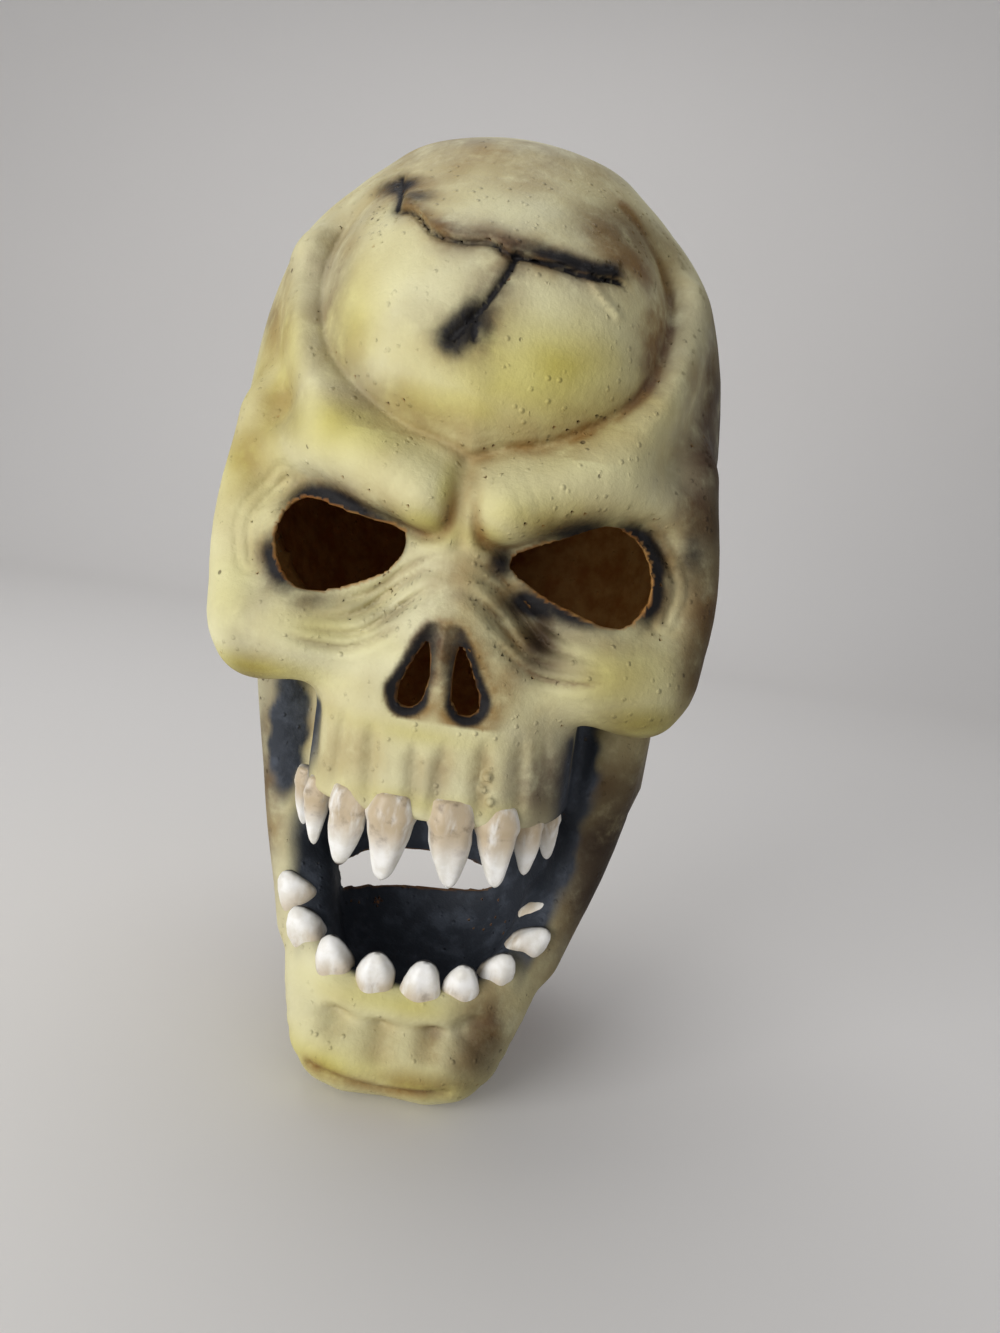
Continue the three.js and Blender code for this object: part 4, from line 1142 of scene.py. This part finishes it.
def thinned(obj, wanted):
    """The object's mesh with about as many triangles as wanted, the lining and the back thinned most."""
    count = sum(len(p.vertices) - 2 for p in obj.data.polygons)
    modifier = obj.modifiers.new("thin", "DECIMATE")
    modifier.ratio = min(1.0, wanted / count)
    modifier.use_collapse_triangulate = True
    modifier.vertex_group = "face"
    modifier.invert_vertex_group = True
    modifier.vertex_group_factor = 0.6
    graph = bpy.context.evaluated_depsgraph_get()
    mesh = bpy.data.meshes.new_from_object(obj.evaluated_get(graph))
    obj.modifiers.clear()
    old = obj.data
    obj.data = mesh
    mesh.name = obj.name
    bpy.data.meshes.remove(old)


def skull_shell(sizes, paints):
    """The cast shell. It folds back on itself in the mouth and under the cheekbones and is pierced by
    its holes, so no sheet of two parameters covers it: it is the zero level of one distance function
    instead, netted on a grid, settled on that function and given its slope as shading normals."""
    points, faces = shell_net(sizes.net_step / MM)
    obj = new_object("latex_shell", points * MM, faces)
    points, slope, lined, clear = settle(points, normals_of(obj.data))
    place_corners(obj.data, points * MM)
    group = obj.vertex_groups.new(name="face")
    kept = ~lined & (points[:, 1] < back(0.4))
    group.add(np.flatnonzero(kept).tolist(), 1.0, "REPLACE")
    thinned(obj, sizes.shell_faces)
    mesh = obj.data
    points, slope, lined, clear = settle(corners_of(mesh) / MM, normals_of(mesh))
    place_corners(mesh, points * MM)
    plain = normals_of(mesh)
    smooth_normals = np.where(lined[:, None], -slope, slope)
    trusted = clear & ((smooth_normals * plain).sum(1) > 0.8)
    normals = np.where(trusted[:, None], smooth_normals, plain)
    facing = (plain * slope).sum(1)
    for name, values in paint_masks(points, facing, lined, clear).items():
        attribute(mesh, name, values)
    mesh.shade_smooth()
    mesh.normals_split_custom_set_from_vertices(normals.tolist())
    mesh.materials.append(painted_latex(paints))
    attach(obj, "root")
    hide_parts("skull_shell")
    return obj


def tooth_surface(row, longest, upwards, phase):
    """One tooth as a grid of angle and place along it. The half width swells from the root, is greatest
    at a third and falls to a rounded tip; sideways it is a soft square; and the whole bends back."""
    around = np.linspace(0, 2 * math.pi, 40, endpoint=False)
    along = np.linspace(0, 1, 36)
    t, a = np.meshgrid(along, around, indexing="ij")
    length = row["long"] * longest
    half = row["wide"] * length / 2
    if upwards:
        places, shares = [0, 0.15, 0.35, 0.55, 0.75, 0.9, 1], [0.8, 1.0, 1.1, 1.02, 0.8, 0.52, 0.26]
    else:
        places = [0, 0.18, 0.27, 0.36, 0.5, 0.7, 0.87, 1]
        shares = [0.9, 1.14, 1.2, 1.04, 0.99, 0.76, 0.5, 0.24]
    girth = np.interp(t, places, shares)
    cap = np.sqrt(np.clip(1 - np.clip((t - 0.9) / 0.1, 0, 1) ** 2, 0, 1))
    foot = np.sqrt(np.clip(1 - np.clip((0.05 - t) / 0.05, 0, 1) ** 2, 0, 1))
    ripple = 1 + 0.05 * np.sin(3 * a + phase) * (1 - t) + 0.03 * np.sin(9 * t + 2 * phase)
    ripple += 0.04 * np.sin(5 * a + 4 * t + 3 * phase)
    radius = half * girth * cap * foot * ripple
    square = (np.abs(np.cos(a)) ** 2.4 + np.abs(np.sin(a)) ** 2.4) ** (-1 / 2.4)
    sense = 1.0 if upwards else -1.0
    x = radius * square * np.cos(a) + 0.04 * length * np.sin(phase) * t**2
    y = radius * square * np.sin(a) * TOOTH_DEEP + (0.07 if upwards else 0.1) * length * t**2
    z = sense * (-TOOTH_ROOT + t) * length
    outwards = math.radians(row["lean"]) * np.sign(row["across"])
    forwards = math.radians(row["forward"])
    turned = Matrix.Rotation(sense * outwards, 3, "Y") @ Matrix.Rotation(sense * forwards, 3, "X")
    points = np.stack([x, y, z], -1).reshape(-1, 3) @ np.array(turned).T
    points += [across(row["across"]), back(row["back"]), down(row["down"])]
    rings, sides = t.shape
    i, j = np.meshgrid(np.arange(rings - 1), np.arange(sides), indexing="ij")
    n = (j + 1) % sides
    ring = i * sides
    faces = np.stack([ring + j, ring + n, ring + sides + n, ring + sides + j], -1).reshape(-1, 4)
    if not upwards:
        faces = faces[:, ::-1]
    inner = rise(np.sin(a), -0.1, 0.4) if upwards else rise(np.sin(a), 0.3, 1) * 0.8
    outer = rise(-np.sin(a), 0.1, 0.8)
    masks = {
        "stain": rise(-t, -0.75, -0.35) * (0.8 if upwards else 0.35 + 0.65 * outer),
        "inner": inner * np.ones_like(t),
        "broken": rise(t, 0.93, 0.97) * float(row["broken"]),
    }
    return points, faces, {name: values.ravel() for name, values in masks.items()}


def row_of_teeth(name, rows, longest, upwards, material):
    for i in range(len(rows["down"])):
        row = {key: float(column[i]) for key, column in rows.items()}
        row["broken"] = not upwards and i == BROKEN_FANG
        points, faces, masks = tooth_surface(row, longest, upwards, 1.7 * i + 0.6)
        obj = new_object(f"fang_{name}_{i + 1}", points * MM, faces)
        mesh = obj.data
        for key, values in masks.items():
            attribute(mesh, key, values)
        weld(obj)
        obj.data.materials.append(material)
        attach(obj, "root")
        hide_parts(f"{name}_tooth_{i + 1}")


def weld(obj):
    """Closes the poles, where a whole ring of corners lies in one place."""
    bm = bmesh.new()
    bm.from_mesh(obj.data)
    bmesh.ops.remove_doubles(bm, verts=bm.verts, dist=0.02 * MM)
    bm.to_mesh(obj.data)
    bm.free()
    obj.data.shade_smooth()


def studio(looks):
    """A pale floor that sweeps up behind, three soft lamps and a pale world: the profile of the sweep is
    a level run, a quarter round and an upright run, carried along X."""
    low = CAD_BOX[0][2] - 1 * MM
    reach, radius, height = 1.1, 0.5, 2.2
    bend = np.linspace(0, math.pi / 2, 24)
    ys = np.concatenate([[-2.5, reach], reach + radius * np.sin(bend[1:]), [reach + radius]])
    zs = np.concatenate([[low, low], low + radius * (1 - np.cos(bend[1:])), [low + height]])
    wide = np.array([-3.0, 3.0])
    points = np.stack([np.repeat(wide, len(ys)), np.tile(ys, 2), np.tile(zs, 2)], 1)
    k = np.arange(len(ys) - 1)
    faces = np.stack([k, k + len(ys), k + 1 + len(ys), k + 1], 1)
    floor = new_object("studio_floor", points, faces)
    material, tree, shader = new_material("matt_backdrop_paper")
    place = add(tree, "ShaderNodeTexCoord", gives="Object")
    sockets = {"Vector": place, "Scale": 0.5 / (400 * MM), "Detail": 2.0, "Roughness": 0.55}
    cloudy = add(tree, "ShaderNodeTexNoise", sockets)
    paper = {0: cloudy, 6: looks.paper, 7: looks.pale_paper}
    tree.links.new(add(tree, "ShaderNodeMix", paper, **COLOURS), shader.inputs["Base Color"])
    shader.inputs["Roughness"].default_value = 0.9
    floor.data.materials.append(material)
    lamps = (
        ("key_lamp", (-0.95, -1.15, -0.02), 0.9, looks.key_power, "#FFFFFF"),
        ("fill_lamp", (1.1, -1.0, 0.1), 1.2, 0.05 * looks.key_power, "#F4F4FF"),
        ("top_lamp", (-0.2, 0.5, 1.2), 1.2, 0.45 * looks.key_power, "#FFFFFF"),
    )
    aim = np.array([0, -0.04, -0.18])
    for name, stand, size, power, colour in lamps:
        data = bpy.data.lights.new(name, "AREA")
        data.size, data.energy, data.color = size, power, linear(colour)[:3]
        lamp = bpy.data.objects.new(name, data)
        bpy.context.scene.collection.objects.link(lamp)
        lamp.matrix_world = looking(np.array(stand), aim - np.array(stand), np.array([0, 0, 1.0]))
    world = bpy.data.worlds.new("studio_world")
    world.use_nodes = True
    world.node_tree.nodes["Background"].inputs[0].default_value = linear("#E6E8EC")
    world.node_tree.nodes["Background"].inputs[1].default_value = 0.38
    bpy.context.scene.world = world


def looking(place, forward, up):
    """A placement that looks along forward, with up towards the top of its view."""
    forward = forward / np.linalg.norm(forward)
    right = np.cross(forward, up)
    right /= np.linalg.norm(right)
    rows = np.stack([right, np.cross(right, forward), -forward], 1)
    placed = np.eye(4)
    placed[:3, :3] = rows
    placed[:3, 3] = place
    return Matrix(placed.tolist())


def camera():
    """The photograph's camera: a third of a metre from the face, a little above it and rolled."""
    azimuth, pitch, roll = (math.radians(v) for v in (CAMERA_AZIMUTH, CAMERA_PITCH, CAMERA_ROLL))
    level = np.array([math.cos(azimuth), math.sin(azimuth), 0])
    onward = np.array([-math.sin(azimuth), math.cos(azimuth), 0])
    forward = math.cos(pitch) * onward - math.sin(pitch) * np.array([0, 0, 1.0])
    upright = np.cross(level, forward)
    up = math.cos(roll) * upright + math.sin(roll) * level
    data = bpy.data.cameras.new("photo_camera")
    data.sensor_fit = "HORIZONTAL"
    data.sensor_width = 36.0
    data.lens = data.sensor_width * FOCAL_PIXELS / FRAME_PIXELS
    data.clip_start, data.clip_end = 0.01, 20.0
    obj = bpy.data.objects.new("photo_camera", data)
    bpy.context.scene.collection.objects.link(obj)
    obj.matrix_world = looking(np.array(CAMERA_PLACE), forward, up)
    bpy.context.scene.camera = obj
    bpy.context.scene.view_settings.view_transform = "Standard"


def length(name, description, millimetres):
    """A length for the panel, from one in millimetres."""
    return bpy.props.FloatProperty(
        name=name, description=description, default=millimetres * MM, unit="LENGTH", precision=4)


def paint(name, description, code):
    """A colour for the panel, from an sRGB hex colour."""
    return bpy.props.FloatVectorProperty(
        name=name, description=description, default=linear(code), size=4, subtype="COLOR", min=0, max=1)


class MaskSizes(bpy.types.PropertyGroup):
    height: length("Height", "From the crown to the chin", mask.height)
    half_width: length("Half width", "From the middle to the widest part of the cranium", mask.half_width)
    depth: length("Depth", "From the front of the brow to the back of the head", mask.depth)
    wall: length("Wall", "Thickness of the cast latex", mask.wall)
    upper_tooth: length("Upper tooth", "Length of the longest upper tooth, root and all", mask.upper_tooth)
    lower_tooth: length("Lower tooth", "Length of the longest lower tooth, root and all", mask.lower_tooth)
    dome_rise: length("Dome rise", "How far the dome swells above the forehead", mask.dome_rise)
    groove_depth: length("Groove", "Depth of the groove round the dome", mask.groove_depth)
    crack_depth: length("Crack", "Depth of the crack in the dome", mask.crack_depth)
    tear_rise: length("Torn lip", "How far the lip of the crack is lifted", mask.tear_rise)
    wrinkle_depth: length("Wrinkles", "Depth of the wrinkles under the eyes", mask.wrinkle_depth)
    net_step: length("Net step", "Spacing of the grid that the shell is netted on", 1.5)
    shell_faces: bpy.props.IntProperty(
        name="Shell triangles", description="Triangles left in the shell once it is thinned", default=192000)


class MaskPaints(bpy.types.PropertyGroup):
    bone: paint("Bone", "Ground colour", "#D6CFA0")
    pale_bone: paint("Pale bone", "Ground colour where it is thickest", "#E2DDB6")
    mist: paint("Mist", "Yellow-green airbrush", "#C6BA40")
    warm_wash: paint("Warm wash", "Brown airbrush", "#8B6C3B")
    dull_wash: paint("Dull wash", "Brown airbrush, greyer", "#705843")
    # Painted shade: the dark brown that darkens the side turned from the key lamp, with dark brown paint in
    # it
    dark_wash_and_shade: paint("Dark wash", "Brown at the sides and jaw", "#34281C")
    soot: paint("Soot", "Black airbrush", "#1C1A1B")
    # Painted sheen: a grey lighter than the black paint, standing in for its gloss
    mouth: paint("Mouth", "Black brushed inside the mouth", "#34383F")
    # Painted sheen: mottled lighter patches on the mouth's black
    mouth_sheen: paint("Mouth, worn", "Black where it lies thin", "#4A4F58")
    pits: paint("Pits", "Wash caught in the pits", "#4A3D2A")
    latex: paint("Latex", "Bare latex inside", "#9A6128")
    pale_latex: paint("Pale latex", "Bare latex where it is thin", "#B98A4C")
    tooth: paint("Tooth", "Off-white of the teeth", "#E8E4DA")
    white_tooth: paint("White tooth", "Teeth where the paint is thickest", "#F9F7F2")
    stain: paint("Stain", "Ochre at the gum", "#B79E73")
    dark_stain: paint("Dark stain", "Brown spots in the stain", "#5B4528")
    broken_tooth: paint("Broken tooth", "Tip that is broken off", "#3A2113")
    inner_tooth: paint("Inner side", "Teeth on the tongue's side", "#232021")


class StudioLooks(bpy.types.PropertyGroup):
    key_power: bpy.props.FloatProperty(
        name="Key lamp", description="Power of the main lamp", default=17.0, unit="POWER")
    paper: paint("Paper", "Floor and backdrop", "#E6E3E0")
    pale_paper: paint("Pale paper", "Floor and backdrop, lighter", "#ECE9E6")


def take_sizes(sizes):
    """Puts the panel's sizes in the place of the driving sizes that it shows."""
    for name in vars(mask):
        setattr(mask, name, getattr(sizes, name) / MM)


class MASK_OT_shell(bpy.types.Operator):
    """Builds the painted latex shell of the skull"""
    bl_idname = "mask.shell"
    bl_label = "Latex shell"

    def execute(self, context):
        take_sizes(context.scene.mask_sizes)
        skull_shell(context.scene.mask_sizes, context.scene.mask_paints)
        return {"FINISHED"}


class MASK_OT_teeth(bpy.types.Operator):
    """Builds the upper fangs and the lower teeth"""
    bl_idname = "mask.teeth"
    bl_label = "Fangs"

    def execute(self, context):
        take_sizes(context.scene.mask_sizes)
        material = tooth_paint(context.scene.mask_paints)
        row_of_teeth("upper", UPPER_TEETH, mask.upper_tooth, False, material)
        row_of_teeth("lower", LOWER_TEETH, mask.lower_tooth, True, material)
        return {"FINISHED"}


class MASK_OT_stage(bpy.types.Operator):
    """Builds the floor, the lamps and the camera"""
    bl_idname = "mask.stage"
    bl_label = "Studio"

    def execute(self, context):
        studio(context.scene.studio_looks)
        camera()
        return {"FINISHED"}


class MASK_PT_panel(bpy.types.Panel):
    bl_idname = "MASK_PT_panel"
    bl_label = "Skull mask"
    bl_space_type = "VIEW_3D"
    bl_region_type = "UI"
    bl_category = "Skull mask"

    def draw(self, context):
        scene = context.scene
        for group in (scene.mask_sizes, scene.mask_paints, scene.studio_looks):
            for name in type(group).__annotations__:
                self.layout.prop(group, name)
        for operator in STEPS:
            self.layout.operator(operator.bl_idname)


STEPS = (MASK_OT_stage, MASK_OT_shell, MASK_OT_teeth)
GROUPS = {"mask_sizes": MaskSizes, "mask_paints": MaskPaints, "studio_looks": StudioLooks}
CLASSES = (*GROUPS.values(), *STEPS, MASK_PT_panel)


def register():
    for cls in CLASSES:
        bpy.utils.register_class(cls)
    for name, group in GROUPS.items():
        setattr(bpy.types.Scene, name, bpy.props.PointerProperty(type=group))


def unregister():
    for name in GROUPS:
        delattr(bpy.types.Scene, name)
    for cls in reversed(CLASSES):
        bpy.utils.unregister_class(cls)


def main():
    register()
    bpy.ops.mask.stage()
    bpy.ops.mask.shell()
    bpy.ops.mask.teeth()


if __name__ == "__main__":
    main()
